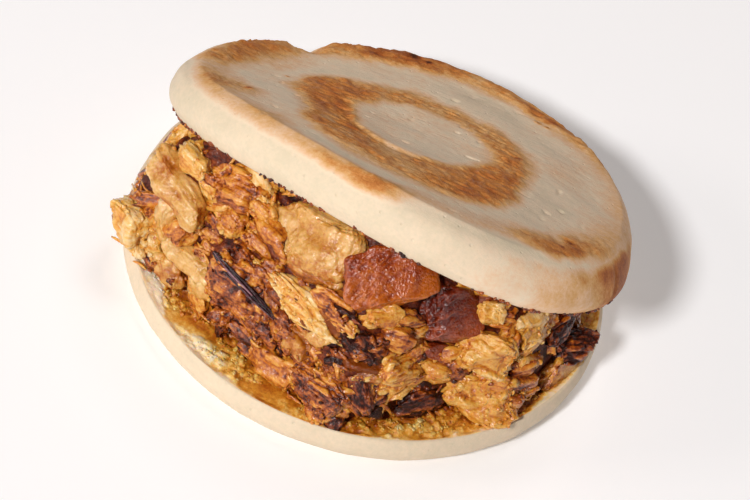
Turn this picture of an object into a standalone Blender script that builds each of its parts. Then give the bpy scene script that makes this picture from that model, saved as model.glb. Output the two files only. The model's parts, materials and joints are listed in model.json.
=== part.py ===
"""Roujiamo: a flat round bread, slit and propped open by a heap of chopped braised pork.

Lengths below are in millimetres and are scaled to metres when a mesh is made.
The origin is the middle of the lower half's flat underside. Up is +Z and the
open mouth of the bread looks along -Y.
"""
import math
import random

import bmesh
import bpy
import numpy as np
from mathutils import Vector, noise

MM = 0.001
GAP = 0.35                     # clearance between pieces that rest on each other

# Lower half of the bread
BREAD_RADIUS = 55.0
BASE_HEIGHT = 9.0
BASE_SIDE = ((0.93, 0.0), (0.98, 0.25), (1.0, 0.6), (0.985, 1.0))
CRUMB_DIPS = 0.7               # depth of the hollows in the torn crumb

# Upper half: a slightly warped disc, raised at the mouth
LID_RADIUS = 54.64
LID_THICKNESS = 11.28
LID_CENTRE = (1.96, 5.56, 35.96)
LID_TILT = 26.55               # raises the mouth side
LID_LEAN = -3.15               # raises the right side slightly
LID_SIDE = ((0.96, -0.5), (0.99, -0.3), (1.0, -0.1), (0.985, 0.2), (0.96, 0.36), (0.92, 0.5))
LID_WARP = ((2, 0, -3.78), (1, 1, 2.42), (0, 2, 3.0), (3, 0, -2.0), (1, 2, -3.8))
LID_WAVES = ((2, -0.01, -0.03), (3, -0.03, -0.01))   # out of round: turns, cosine, sine
PINCH_BEARING = 137.0          # where the rim is pinched in behind the left lobe
PINCH_WIDTH = 5.0
PINCH_DEPTH = 2.6
LOBE_BEARING = 163.0           # the rim puffs up to the left of the pinch
LOBE_WIDTH = 17.0
LOBE_LIFT = 1.3
RING_CENTRE = (-0.9, -8.2)     # the inner griddle ring sits towards the mouth
GRIDDLE_RELIEF = 0.5

# Heap of chopped pork on the lower half
HEAP_RADIUS = 46.0
HEAP_BULGES = ((208, 14, 8.0), (188, 36, 5.0), (284, 14, 6.5), (328, 11, 5.0),
               (352, 20, 5.0), (90, 60, -3.0))        # bearing, half width, reach
HEAP_RISE = 46.0
HEAP_RUN = 12.0
HEAP_SKIN = 1.4                # how far the core lies under the chopped pieces
SHRED_COUNT = 96
SHRED_LENGTH = (7.5, 13.5)
SHRED_SEED = 11
EVEN_STEPS = (0.7549, 0.5698)     # steps that fill a square evenly
FLAT_ENOUGH = math.radians(6.0)   # faces closer than this to one plane become one
PINCH_GAP = 0.02

# Large pieces that can be picked out: name, centre, heading, how level they lie
# (0 follows the slope, 1 is flat), size, seed, stuff
CHUNKS = (
    ("pork_slab_left", (-38.8, -26.8, 29.4), -57, 0.0, (20.0, 8.8, 9.0), 3, "tan_pork"),
    ("pork_lobe_left", (-45.8, -28.8, 16.4), -26, 0.0, (15.0, 12.0, 9.5), 7, "tan_pork"),
    ("pork_tan_upper", (-26.5, -27.0, 36.6), 8, 0.0, (15.0, 9.5, 7.5), 41, "tan_pork"),
    ("pork_lean_dark", (-17.5, -38.4, 21.5), -28, 0.0, (21.0, 18.0, 9.5), 12, "lean_pork"),
    ("pork_strands", (-2.6, -40.8, 27.6), -29, 0.0, (24.0, 7.5, 8.0), 5, "strand_pork"),
    ("pork_fat", (-5.4, -31.6, 39.0), 2, 0.0, (20.5, 15.0, 9.0), 21, "pork_fat"),
    ("pork_rind_large", (11.8, -35.0, 39.2), 28, 0.0, (21.0, 14.5, 7.0), 9, "pork_rind"),
    ("pork_rind_small", (25.2, -28.6, 32.0), 23, 0.0, (15.0, 13.0, 7.0), 14, "pork_rind"),
    ("pork_lean_front", (18.8, -40.2, 21.0), 62, 0.0, (16.5, 10.0, 9.0), 17, "lean_pork"),
    ("pork_lump_front", (7.4, -48.8, 13.3), -15, 0.1, (14.0, 11.0, 8.5), 37, "lean_pork"),
    ("pork_fat_right", (34.0, -28.8, 24.0), -10, 0.0, (13.5, 11.5, 9.0), 26, "tan_pork"),
    ("pork_wedge_right", (37.6, -30.6, 13.4), 4, 0.2, (17.0, 10.0, 8.0), 31, "tan_pork"),
    ("pork_pale_right", (40.6, -18.8, 27.0), 56, 0.0, (15.0, 7.5, 6.5), 43, "tan_pork"),
    ("pork_tip_right", (49.6, -6.6, 14.6), 43, 0.75, (14.0, 8.0, 5.5), 33, "rind_crisp"),
)

COLOURS = {
    "griddled_bread": (0.78, 0.62, 0.40),
    "bread_crumb": (0.74, 0.50, 0.20),
    "chopped_pork": (0.42, 0.16, 0.04),
    "tan_pork": (0.60, 0.32, 0.11),
    "lean_pork": (0.30, 0.10, 0.03),
    "strand_pork": (0.62, 0.31, 0.08),
    "pork_fat": (0.66, 0.36, 0.10),
    "pork_rind": (0.32, 0.06, 0.01),
    "rind_crisp": (0.18, 0.03, 0.01),
}


def material(name):
    """A plain moist surface in the stuff's own colour."""
    made = bpy.data.materials.new(name)
    made.use_nodes = True
    surface = made.node_tree.nodes["Principled BSDF"]
    surface.inputs["Base Color"].default_value = (*COLOURS[name], 1.0)
    surface.inputs["Roughness"].default_value = 0.7 if "bread" in name else 0.35
    made.diffuse_color = (*COLOURS[name], 1.0)
    return made


def solid(name, points, faces, stuff=None):
    """A mesh object from points in millimetres."""
    mesh = bpy.data.meshes.new(name)
    mesh.from_pydata([tuple(p) for p in np.asarray(points) * MM], [], faces)
    mesh.update()
    made = bpy.data.objects.new(name, mesh)
    bpy.context.scene.collection.objects.link(made)
    if stuff:
        mesh.materials.append(stuff)
    return made


def ripple(point, size, seed):
    """Smooth seeded noise, about -1 to 1, with bumps of the given size."""
    shifted = Vector((point[0] / size + seed * 3.1, point[1] / size - seed * 1.7, point[2] / size))
    return noise.noise(shifted)


def hump(value, centre, width):
    return math.exp(-((value - centre) / width) ** 2)


def turned(bearing, other):
    """Signed difference of two bearings in degrees."""
    return (bearing - other + 180.0) % 360.0 - 180.0


def round_solid(name, rings, segments, low_centre, high_centre, stuff=None):
    """Closed solid from rings of points, listed from the low centre up over the rim."""
    points = [low_centre]
    for ring in rings:
        points.extend(ring)
    points.append(high_centre)
    last = len(points) - 1
    faces = []
    for step in range(segments):
        after = (step + 1) % segments
        faces.append((0, 1 + after, 1 + step))
        top = 1 + (len(rings) - 1) * segments
        faces.append((last, top + step, top + after))
        for level in range(len(rings) - 1):
            low = 1 + level * segments
            high = low + segments
            faces.append((low + step, low + after, high + after, high + step))
    return solid(name, points, faces, stuff)


def lid_axes():
    """Columns are the lid's own right, back and up directions."""
    tilt, lean = math.radians(-LID_TILT), math.radians(LID_LEAN)
    about_x = np.array([[1, 0, 0],
                        [0, math.cos(tilt), -math.sin(tilt)],
                        [0, math.sin(tilt), math.cos(tilt)]])
    about_y = np.array([[math.cos(lean), 0, math.sin(lean)],
                        [0, 1, 0],
                        [-math.sin(lean), 0, math.cos(lean)]])
    return about_x @ about_y


LID_AXES = lid_axes()


def lid_warp(x, y):
    across, along = x / LID_RADIUS, y / LID_RADIUS
    return sum(size * across ** i * along ** j for i, j, size in LID_WARP)


def lid_place(x, y, height):
    """From the lid's own measures to the shared frame."""
    return LID_AXES @ np.array([x, y, height + lid_warp(x, y)]) + np.array(LID_CENTRE)


def lid_underside(x, y):
    """Height of the lid's cut face over a plan position."""
    height = LID_CENTRE[2]
    for _ in range(12):
        own = LID_AXES.T @ (np.array([x, y, height]) - np.array(LID_CENTRE))
        height -= own[2] + LID_THICKNESS / 2 - lid_warp(own[0], own[1])
    return height


def griddle_relief(x, y):
    """Raised browned rings and the sunk pale band between them."""
    out = math.hypot(x, y) / LID_RADIUS
    inner = math.hypot(x - RING_CENTRE[0], y - RING_CENTRE[1]) / LID_RADIUS
    raised = hump(out, 0.89, 0.05) + hump(inner, 0.44, 0.08)
    sunk = hump(out, 0.72, 0.09) + hump(inner, 0.12, 0.2)
    uneven = 0.6 * ripple((x, y, 0.0), 14.0, 2)
    return GRIDDLE_RELIEF * (raised - sunk + uneven)


def lid_ring(fraction, level, face, segments):
    """One ring of the upper half, in order of bearing."""
    ring = []
    for step in range(segments):
        bearing = 360.0 * step / segments
        angle = math.radians(bearing)
        radius = fraction * LID_RADIUS
        for turns, cosine, sine in LID_WAVES:
            wave = cosine * math.cos(turns * angle) + sine * math.sin(turns * angle)
            radius += fraction * LID_RADIUS * wave
        x, y = radius * math.cos(angle), radius * math.sin(angle)
        height = level * LID_THICKNESS
        if face == "top":
            height += griddle_relief(x, y)
        elif face == "crumb":
            height += CRUMB_DIPS * abs(ripple((x, y, 0.0), 7.0, 5))
        pinch = hump(turned(bearing, PINCH_BEARING), 0.0, PINCH_WIDTH)
        near_rim = max(0.0, level + 0.3) * min(1.0, max(0.0, (fraction - 0.8) / 0.12))
        pinch *= near_rim
        radius -= 1.2 * PINCH_DEPTH * pinch
        height -= 1.3 * PINCH_DEPTH * pinch
        height += LOBE_LIFT * near_rim * hump(turned(bearing, LOBE_BEARING), 0.0, LOBE_WIDTH)
        ring.append(lid_place(radius * math.cos(angle), radius * math.sin(angle), height))
    return ring


def upper_half(stuff):
    segments = 66
    rings = [lid_ring(fraction, -0.5, "crumb", segments) for fraction in (0.4, 0.8)]
    rings += [lid_ring(fraction, level, "side", segments) for fraction, level in LID_SIDE]
    top = (0.88, 0.81, 0.73, 0.63, 0.52, 0.41, 0.3, 0.16)
    rings += [lid_ring(fraction, 0.5, "top", segments) for fraction in top]
    low = lid_place(0.0, 0.0, -0.5 * LID_THICKNESS)
    high = lid_place(0.0, 0.0, 0.5 * LID_THICKNESS + griddle_relief(0.0, 0.0))
    return round_solid("bun_top", rings, segments, low, high, stuff)


def lower_half(stuff):
    """Flat underneath, rounded at the side, with a dimpled cut face."""
    segments = 56

    def ring(fraction, level, dimpled=False):
        points = []
        for step in range(segments):
            angle = 2 * math.pi * step / segments
            x = fraction * BREAD_RADIUS * math.cos(angle)
            y = fraction * BREAD_RADIUS * math.sin(angle)
            height = level * BASE_HEIGHT
            if dimpled:
                height -= CRUMB_DIPS * (0.5 + 0.5 * ripple((x, y, 0.0), 6.0, 8))
            points.append((x, y, height))
        return points

    rings = [ring(0.5, 0.0)] + [ring(fraction, level) for fraction, level in BASE_SIDE]
    rings += [ring(fraction, 1.0, True) for fraction in (0.95, 0.89, 0.82, 0.75, 0.55, 0.3)]
    return round_solid("bun_bottom", rings, segments, (0, 0, 0),
                       (0, 0, BASE_HEIGHT - CRUMB_DIPS), stuff)


def heap_reach(bearing):
    """How far the pork comes out over the lower half at a bearing."""
    reach = HEAP_RADIUS
    for centre, width, out in HEAP_BULGES:
        reach += out * hump(turned(bearing, centre), 0.0, width)
    return reach


def heap_height(x, y, skin=0.0):
    """Steep at the foot, easing off until the lid presses it down."""
    inward = heap_reach(math.degrees(math.atan2(y, x))) - math.hypot(x, y)
    if inward <= 0.0:
        return BASE_HEIGHT
    free = BASE_HEIGHT + HEAP_RISE * (1.0 - math.exp(-inward / HEAP_RUN)) - skin
    pressed = max(lid_underside(x, y) - GAP, BASE_HEIGHT + 1.0)
    blend = 2.0
    return -blend * math.log(math.exp(-free / blend) + math.exp(-pressed / blend))


def heap_normal(x, y):
    step = 1.0
    slope_x = (heap_height(x + step, y) - heap_height(x - step, y)) / (2 * step)
    slope_y = (heap_height(x, y + step) - heap_height(x, y - step)) / (2 * step)
    return Vector((-slope_x, -slope_y, 1.0)).normalized()


def heap_core(stuff):
    """The body of the heap, a little inside the pieces that show."""
    segments = 40
    floor = BASE_HEIGHT + GAP + 0.05

    def ring(inward, height=None):
        points = []
        for angle in np.linspace(0, 2 * math.pi, segments, endpoint=False):
            radius = heap_reach(math.degrees(angle)) - HEAP_SKIN - inward
            x, y = radius * math.cos(angle), radius * math.sin(angle)
            lift = heap_height(x, y, HEAP_SKIN) + 0.9 * ripple((x, y, 0.0), 6.0, 4)
            lift = min(lift, lid_underside(x, y) - GAP)
            points.append((x, y, height or max(lift, floor + 1.6)))
        return points

    rings = [ring(1.5, floor), ring(0.4, floor + 1.2)]
    rings += [ring(inward) for inward in (1.5, 3.5, 6.5, 10.5, 15.5, 22.0, 31.0)]
    return round_solid("pork_heap", rings, segments, (0, 0, floor),
                       (0, 0, heap_height(0, 0)), stuff)


def ball(parts):
    """Unit ball made by rounding a cube whose edges are cut into equal parts."""
    cube = bmesh.new()
    bmesh.ops.create_cube(cube, size=2.0)
    bmesh.ops.subdivide_edges(cube, edges=cube.edges[:], cuts=parts - 1, use_grid_fill=True)
    bmesh.ops.triangulate(cube, faces=cube.faces[:])
    points = np.array([vertex.co.normalized()[:] for vertex in cube.verts])
    faces = [tuple(vertex.index for vertex in face.verts) for face in cube.faces]
    cube.free()
    return points, faces


def torn_piece(name, centre, normal, heading, size, seed, parts, stuff=None):
    """A lump lying on the slope: boxy, flattened where the knife passed, grained lengthways."""
    dice = random.Random(seed)
    points, faces = ball(parts)
    shaped = np.sign(points) * np.abs(points) ** 0.72
    for _ in range(7):
        cut = np.array([dice.gauss(0, 1) for _ in range(3)])
        cut /= np.linalg.norm(cut)
        beyond = np.maximum(shaped @ cut - dice.uniform(0.62, 0.95), 0.0)
        shaped -= beyond[:, None] * cut
    shaped *= np.array(size) / 2
    for row in shaped:
        swell = 1.0 + 0.22 * ripple(row, 5.0, seed)
        grain = 0.35 * ripple((row[0] * 0.2, row[1] * 1.6, row[2] * 1.6), 2.2, seed + 1)
        row *= swell + grain / max(size[1], 1.0)
    across = Vector((math.cos(math.radians(heading)), math.sin(math.radians(heading)), 0.0))
    along = (across - normal * across.dot(normal)).normalized()
    side = normal.cross(along)
    axes = np.array([along, side, normal])
    return solid(name, shaped @ axes + np.array(centre), faces, stuff)


def grown(source, extra=GAP):
    """A copy let out along its own normals, used as a cutter."""
    mesh = source.data
    points = np.empty(len(mesh.vertices) * 3)
    normals = np.empty_like(points)
    mesh.vertices.foreach_get("co", points)
    mesh.vertices.foreach_get("normal", normals)
    faces = [tuple(face.vertices) for face in mesh.polygons]
    let_out = (points / MM + normals * extra).reshape(-1, 3)
    made = solid(source.name + "_cutter", let_out, faces)
    made.hide_render = True
    made.display_type = "WIRE"
    return made


def combine(target, others, operation):
    """One Boolean over a collection of solids; the others are used up."""
    group = bpy.data.collections.new("used_up")
    for other in others:
        group.objects.link(other)
    step = target.modifiers.new("combine", "BOOLEAN")
    step.operation = operation
    step.solver = "MANIFOLD"
    step.operand_type = "COLLECTION"
    step.collection = group
    bpy.context.view_layer.update()
    seen = target.evaluated_get(bpy.context.evaluated_depsgraph_get())
    result = bpy.data.meshes.new_from_object(seen)
    target.modifiers.clear()
    old = target.data
    target.data = result
    bpy.data.meshes.remove(old)
    for other in others:
        bpy.data.objects.remove(other, do_unlink=True)
    bpy.data.collections.remove(group)


def unpinch(shape, edge):
    """Where two sheets meet along one edge, gives one of them an edge of its own."""
    start, end = edge.verts

    def forward(face):
        return next(loop for loop in face.loops if loop.edge == edge).vert == start

    first = edge.link_faces[0]
    facing = [face for face in edge.link_faces if forward(face) != forward(first)]
    second = max(facing, key=lambda face: face.normal.dot(first.normal))
    inward = (first.normal + second.normal) * PINCH_GAP * MM
    middle = shape.verts.new((start.co + end.co) / 2 - inward)
    for face in (first, second):
        low, high = (start, end) if forward(face) else (end, start)
        tip = next(vertex for vertex in face.verts if vertex not in (start, end))
        shape.faces.remove(face)
        shape.faces.new((low, middle, tip))
        shape.faces.new((middle, high, tip))


def merged_flats(mesh):
    """Triangles of the mesh after its nearly flat patches are merged, still closed."""
    shape = bmesh.new()
    shape.from_mesh(mesh)
    bmesh.ops.dissolve_limit(shape, angle_limit=FLAT_ENOUGH, verts=shape.verts[:],
                             edges=shape.edges[:])
    bmesh.ops.triangulate(shape, faces=shape.faces[:])
    for edge in [edge for edge in shape.edges if len(edge.link_faces) == 4]:
        unpinch(shape, edge)
    return shape


def keep_largest(target):
    """Drops loose scraps and sealed hollows, so that one outer skin is left."""
    shape = merged_flats(target.data)
    shape.faces.ensure_lookup_table()
    waiting = set(shape.faces)
    islands = []
    while waiting:
        start = waiting.pop()
        island, edge = [start], [start]
        while edge:
            face = edge.pop()
            for side in face.edges:
                for near in side.link_faces:
                    if near in waiting:
                        waiting.remove(near)
                        island.append(near)
                        edge.append(near)
        volume = sum(f.verts[0].co.dot(f.verts[1].co.cross(f.verts[2].co)) for f in island) / 6
        islands.append((volume, island))
    islands.sort(key=lambda item: item[0])
    for _, island in islands[:-1]:
        bmesh.ops.delete(shape, geom=island, context="FACES")
    loose = [vertex for vertex in shape.verts if not vertex.link_faces]
    bmesh.ops.delete(shape, geom=loose, context="VERTS")
    shape.to_mesh(target.data)
    shape.free()
    target.data.update()


def settle(target, stuff):
    """One material for the whole piece after cutting."""
    keep_largest(target)
    target.data.materials.clear()
    target.data.materials.append(stuff)
    for face in target.data.polygons:
        face.material_index = 0


def shreds():
    """Chopped pieces laid over the open slope of the heap, as dense low down as high up."""
    dice = random.Random(SHRED_SEED)
    made = []
    tried = 0
    while len(made) < SHRED_COUNT:
        tried += 1
        away = 2.0 * (tried * EVEN_STEPS[0] % 1.0) - 1.0
        bearing = 270.0 + 180.0 * math.copysign(abs(away) ** 1.3, away)
        risen = 0.9 * (tried * EVEN_STEPS[1] % 1.0)
        radius = heap_reach(bearing) - 0.8 + HEAP_RUN * math.log(1.0 - risen)
        x = radius * math.cos(math.radians(bearing))
        y = radius * math.sin(math.radians(bearing))
        height = heap_height(x, y)
        if lid_underside(x, y) - height < 1.5:
            continue
        length = dice.uniform(*SHRED_LENGTH)
        size = (length, length * dice.uniform(0.42, 0.66), dice.uniform(3.8, 5.6))
        lean = Vector([dice.gauss(0, 0.25) for _ in range(3)])
        normal = (heap_normal(x, y) + lean).normalized()
        centre = Vector((x, y, max(height, BASE_HEIGHT + 1.5))) - normal * dice.uniform(0.4, 1.4)
        made.append(torn_piece("shred", centre, normal, dice.uniform(0, 180), size,
                               dice.randrange(9999), 1 + len(made) % 2))
    return made


def build():
    for old in list(bpy.data.objects):
        bpy.data.objects.remove(old, do_unlink=True)
    bread = material("griddled_bread")
    base = lower_half(bread)
    lid = upper_half(bread)
    base.data.materials.append(material("bread_crumb"))
    lid.data.materials.append(base.data.materials[1])
    for half, up in ((base, 1.0), (lid, -1.0)):
        for face in half.data.polygons:
            if face.normal.z * up > 0.8:
                face.material_index = 1

    stuffs = {name: material(name) for name in COLOURS if "bread" not in name}
    chunks = []
    for name, centre, heading, level, size, seed, stuff in CHUNKS:
        normal = heap_normal(centre[0], centre[1]).lerp(Vector((0, 0, 1)), level).normalized()
        chunks.append(torn_piece(name, centre, normal, heading, size, seed, 4, stuffs[stuff]))

    heap = heap_core(stuffs["chopped_pork"])
    combine(heap, shreds(), "UNION")
    cutters = [grown(piece) for piece in chunks + [lid, base]]
    combine(heap, cutters, "DIFFERENCE")
    settle(heap, stuffs["chopped_pork"])

    for place, chunk in enumerate(chunks):
        cutters = [grown(piece) for piece in chunks[:place] + [lid, base]]
        combine(chunk, cutters, "DIFFERENCE")
        settle(chunk, stuffs[CHUNKS[place][-1]])


build()
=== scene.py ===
# %% [markdown]
# # A roujiamo, dressed for its portrait
# The imported model gives the plain shapes of the bread and the pork. This lesson covers
# them with the real surfaces: a floury griddled crust, torn crumb soaked with gravy, and
# chopped braised pork with its grain, fat and skin. The first step loads the packed
# model, which never moves.

# %% Load the imported model
import json
import math
import random

import bmesh
import bpy
import numpy as np
from mathutils import Matrix, Vector, noise


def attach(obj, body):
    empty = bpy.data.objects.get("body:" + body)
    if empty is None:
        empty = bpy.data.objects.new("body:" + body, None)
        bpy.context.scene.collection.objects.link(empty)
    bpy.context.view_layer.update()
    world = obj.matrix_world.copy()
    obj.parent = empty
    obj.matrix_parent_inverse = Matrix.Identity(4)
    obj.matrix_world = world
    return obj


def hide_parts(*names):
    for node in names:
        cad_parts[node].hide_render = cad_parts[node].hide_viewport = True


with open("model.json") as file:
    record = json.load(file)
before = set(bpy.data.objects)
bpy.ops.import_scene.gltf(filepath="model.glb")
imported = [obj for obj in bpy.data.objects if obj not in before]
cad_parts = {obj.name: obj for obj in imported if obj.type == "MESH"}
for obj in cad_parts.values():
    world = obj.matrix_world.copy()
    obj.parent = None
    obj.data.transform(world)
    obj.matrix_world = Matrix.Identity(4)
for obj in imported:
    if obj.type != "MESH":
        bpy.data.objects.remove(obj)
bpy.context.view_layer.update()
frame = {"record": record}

# %% [markdown]
# ## Measures
# Everything is thought of in millimetres and turned to metres when a mesh is made.
# The bread is 110 mm across. The lid is a slightly warped disc, tilted up at the mouth,
# and the heap of pork rises steeply from its foot until the lid presses it down. These
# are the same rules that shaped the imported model, so every surface lands where it should.

# %% Measures of bread and heap
MM = 0.001
GAP = 0.35  # left between the pork and the lid
BREAD_RADIUS, BASE_HEIGHT = 55.0, 9.0
# The sides' outlines: share of the radius, and height as a share of the thickness.
BASE_SIDE = ((0.93, 0.0), (0.98, 0.25), (1.0, 0.6), (0.985, 1.0))
LID_RADIUS, LID_THICKNESS = 54.64, 11.28
LID_CENTRE = np.array([1.96, 5.56, 35.96])
LID_TILT, LID_LEAN = 26.55, -3.15
LID_SIDE = ((0.955, -0.5), (0.99, -0.3), (1.0, -0.1), (0.985, 0.2), (0.96, 0.36), (0.915, 0.5))
# The warp: powers of x and y, and mm. The waves: how many, cosine and sine shares.
LID_WARP = ((2, 0, -3.78), (1, 1, 2.42), (0, 2, 3.0), (3, 0, -2.0), (1, 2, -3.8))
LID_WAVES = ((2, -0.01, -0.03), (3, -0.03, -0.01))
PINCH_BEARING, PINCH_WIDTH, PINCH_DEPTH = 137.0, 5.0, 2.6
LOBE_BEARING, LOBE_WIDTH, LOBE_LIFT = 163.0, 17.0, 1.3
HEAP_RADIUS, HEAP_RISE, HEAP_RUN = 46.0, 46.0, 12.0
# The heap's foot bulges: bearing, width in degrees, mm outwards.
HEAP_BULGES = ((208, 14, 8.0), (188, 36, 5.0), (284, 14, 6.5), (328, 11, 5.0),
               (352, 20, 5.0), (90, 60, -3.0))
print("bread", 2 * BREAD_RADIUS, "mm across, lid raised", LID_TILT, "degrees")

# %% [markdown]
# ## Small tools
# A noise that works on many points at once keeps the script quick, because the crust
# alone has tens of thousands of points. It is plain value noise: random numbers on the
# corners of a grid, blended smoothly in between. A second pattern, cells, gives each
# point the number of its nearest seed and how far it is from the next cell, which is how
# meat breaks: blocks of fibres, each at its own height, with grooves between them.

# %% Noise and cells
def grid_dice(cell, seed):
    """A fixed random number from 0 to 1 for each whole-number grid place."""
    mixed = cell[..., 0] * 73856093 ^ cell[..., 1] * 19349663 ^ cell[..., 2] * 83492791
    mixed = (mixed ^ (seed * 40503 + 977)) & 0xFFFFFFFF
    mixed = ((mixed ^ (mixed >> 15)) * 739982445) & 0xFFFFFFFF
    mixed = ((mixed ^ (mixed >> 12)) * 695872825) & 0xFFFFFFFF
    return ((mixed ^ (mixed >> 15)) & 0xFFFF) / 65535.0


def soft_noise(points, size, seed=0):
    """Smooth noise from -1 to 1 at many points; its bumps are about `size` mm across."""
    at = np.asarray(points, float) / size + seed * 17.31
    cell = np.floor(at).astype(np.int64)
    part = at - cell
    part = part * part * (3.0 - 2.0 * part)
    total = np.zeros(len(at))
    for corner in range(8):
        step = np.array([corner & 1, corner >> 1 & 1, corner >> 2 & 1])
        weight = np.prod(np.where(step == 1, part, 1.0 - part), axis=1)
        total += weight * (2.0 * grid_dice(cell + step, seed) - 1.0)
    return total


def ridged(points, size, seed):
    """Noise with sharp crests, -1 in the valleys to 1 on the crests."""
    return 1.0 - 2.0 * np.abs(soft_noise(points, size, seed))


def cells(points, size, seed):
    """How far each point is from the border of its cell, and the cell's own number."""
    at = np.asarray(points, float) / size + seed * 11.7
    base = np.floor(at).astype(np.int64)
    first, second = np.full(len(at), 9.0), np.full(len(at), 9.0)
    own = np.zeros(len(at))
    for i in range(27):
        cell = base + np.array([i % 3 - 1, i // 3 % 3 - 1, i // 9 - 1])
        seat = np.stack([grid_dice(cell, seed + k) for k in (1, 2, 3)], -1)
        gap = np.linalg.norm(cell + seat - at, axis=1)
        nearer = gap < first
        second = np.where(nearer, first, np.minimum(second, gap))
        own = np.where(nearer, grid_dice(cell, seed + 4), own)
        first = np.where(nearer, gap, first)
    return second - first, own


TRIAL = np.random.default_rng(1).uniform(0, 90, (999, 3))
print("noise spread:", np.round(soft_noise(TRIAL, 3.0).std(), 2))

# %% Blends and bearings
def hump(value, centre, width):
    return np.exp(-((np.asarray(value) - centre) / width) ** 2)


def turned(bearing, other):
    """Signed difference of two bearings in degrees."""
    return (np.asarray(bearing) - other + 180.0) % 360.0 - 180.0


def round_hump(bearing, centre, width):
    return hump(turned(bearing, centre), 0.0, width)


def bearings(segments):
    return np.linspace(0, 360, segments, endpoint=False)[None, :]


def plan(radius, bearing):
    """Plan places from distances and bearings in degrees."""
    return radius * np.cos(np.radians(bearing)), radius * np.sin(np.radians(bearing))


def ease(low, high, value):
    """0 below low, 1 above high, smooth in between."""
    part = np.clip((np.asarray(value, float) - low) / (high - low), 0.0, 1.0)
    return part * part * (3.0 - 2.0 * part)


def ripple(point, size, seed):
    """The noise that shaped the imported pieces, one point at a time."""
    return noise.noise(Vector((point[0] / size + seed * 3.1, point[1] / size - seed * 1.7,
                               point[2] / size)))


# %% [markdown]
# A mesh piece carries marks beside its shape, such as how brown the crust is at each
# point. They are stored as attributes, and a material reads them by name. That keeps
# every pattern fixed to the food, whichever way it is seen.

# %% Mesh makers
def piece(name, points, faces, stuffs, marks=None, slots=None):
    """A smooth mesh object from points in mm, with named marks on its points."""
    mesh = bpy.data.meshes.new(name)
    mesh.from_pydata((np.asarray(points) * MM).tolist(), [], faces)
    for stuff in stuffs:
        mesh.materials.append(stuff)
    mesh.polygons.foreach_set("use_smooth", [True] * len(mesh.polygons))
    if slots is not None:
        mesh.polygons.foreach_set("material_index", slots)
    for mark, values in (marks or {}).items():
        values = np.asarray(values, np.float32)
        if values.ndim == 1:
            mesh.attributes.new(mark, "FLOAT", "POINT").data.foreach_set("value", values)
        else:
            mesh.attributes.new(mark, "FLOAT_VECTOR", "POINT").data.foreach_set("vector", values.ravel())
    mesh.update()
    made = bpy.data.objects.new(name, mesh)
    bpy.context.scene.collection.objects.link(made)
    return made


def round_faces(levels, segments):
    """Faces of a closed round solid: a fan, bands between rings, and a fan."""
    last = levels * segments + 1
    top = 1 + (levels - 1) * segments
    faces = [(0, 1 + (s + 1) % segments, 1 + s) for s in range(segments)]
    for level in range(levels - 1):
        low = 1 + level * segments
        faces += [(low + s, low + (s + 1) % segments, low + segments + (s + 1) % segments,
                   low + segments + s) for s in range(segments)]
    faces += [(last, top + s, top + (s + 1) % segments) for s in range(segments)]
    return faces


def with_poles(values):
    """A mark's values on the rings, with one more for each of the two poles."""
    flat = values.ravel()
    return np.concatenate([flat[:1], flat, flat[-1:]])


UNDER, SIDE, UPPER = 0, 1, 2


def cut_slots(faces, band, segments, cut_band):
    """Material slot of each face: 1 in the band of the cut face, 0 elsewhere."""
    ring = np.array([max(0, min((min(f) - 1) // segments, len(band) - 1)) for f in faces])
    return (band[ring] == cut_band).astype(int)


def tube_faces(rings, sides):
    """Faces of a closed tube: bands between its rings, then its two ends."""
    faces = []
    for low in range(0, (rings - 1) * sides, sides):
        for k in range(sides):
            a, b = low + k, low + (k + 1) % sides
            faces.append((a, b, b + sides, a + sides))
    last = (rings - 1) * sides
    for ring in ([-k % sides for k in range(sides)], [last + k for k in range(sides)]):
        faces += [(ring[0], ring[k], ring[k + 1], ring[k + 2]) for k in range(1, sides - 1, 2)]
    return np.array(faces)


def through(knots, count):
    """Points on a smooth curve through the knots (Catmull-Rom)."""
    knots = np.asarray(knots, float)
    padded = np.vstack([2 * knots[0] - knots[1], knots, 2 * knots[-1] - knots[-2]])
    out = []
    for t in np.linspace(0, len(knots) - 1.0001, count):
        k, u = int(t), t % 1.0
        a, b, c, d = padded[k:k + 4]
        out.append(0.5 * (2 * b + (c - a) * u + (2 * a - 5 * b + 4 * c - d) * u * u
                          + (3 * b - a - 3 * c + d) * u ** 3))
    return np.array(out)


# %% [markdown]
# ## Node trees
# One small function adds any node with its settings and what feeds it. Colours are
# written as the sRGB hex values that an eye reads off a photograph, and one function
# turns them to the linear values that a renderer mixes.

# %% Colour and node helpers
def linear(code):
    """Linear RGBA from an sRGB hex code."""
    parts = [int(code[i:i + 2], 16) / 255.0 for i in (1, 3, 5)]
    return tuple(p / 12.92 if p <= 0.04045 else ((p + 0.055) / 1.055) ** 2.4 for p in parts) + (1.0,)


def feed(tree, node, feeds):
    """Sets a node's inputs, each to a plain value or from another node's socket."""
    for name, value in feeds.items():
        if isinstance(value, bpy.types.NodeSocket):
            tree.links.new(value, node.inputs[name])
        else:
            node.inputs[name].default_value = value


def add(tree, kind, feeds=None, **settings):
    """Adds a node with its settings and what feeds it."""
    made = tree.nodes.new(kind)
    for name, value in settings.items():
        setattr(made, name, value)
    feed(tree, made, feeds or {})
    return made


def colour_steps(ramp, steps):
    """Sets a colour ramp's stops from (place, hex) pairs."""
    stops = ramp.color_ramp.elements
    while len(stops) > 1:
        stops.remove(stops[-1])
    stops[0].position, stops[0].color = steps[0][0], linear(steps[0][1])
    for place, code in steps[1:]:
        stops.new(place).color = linear(code)


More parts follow.
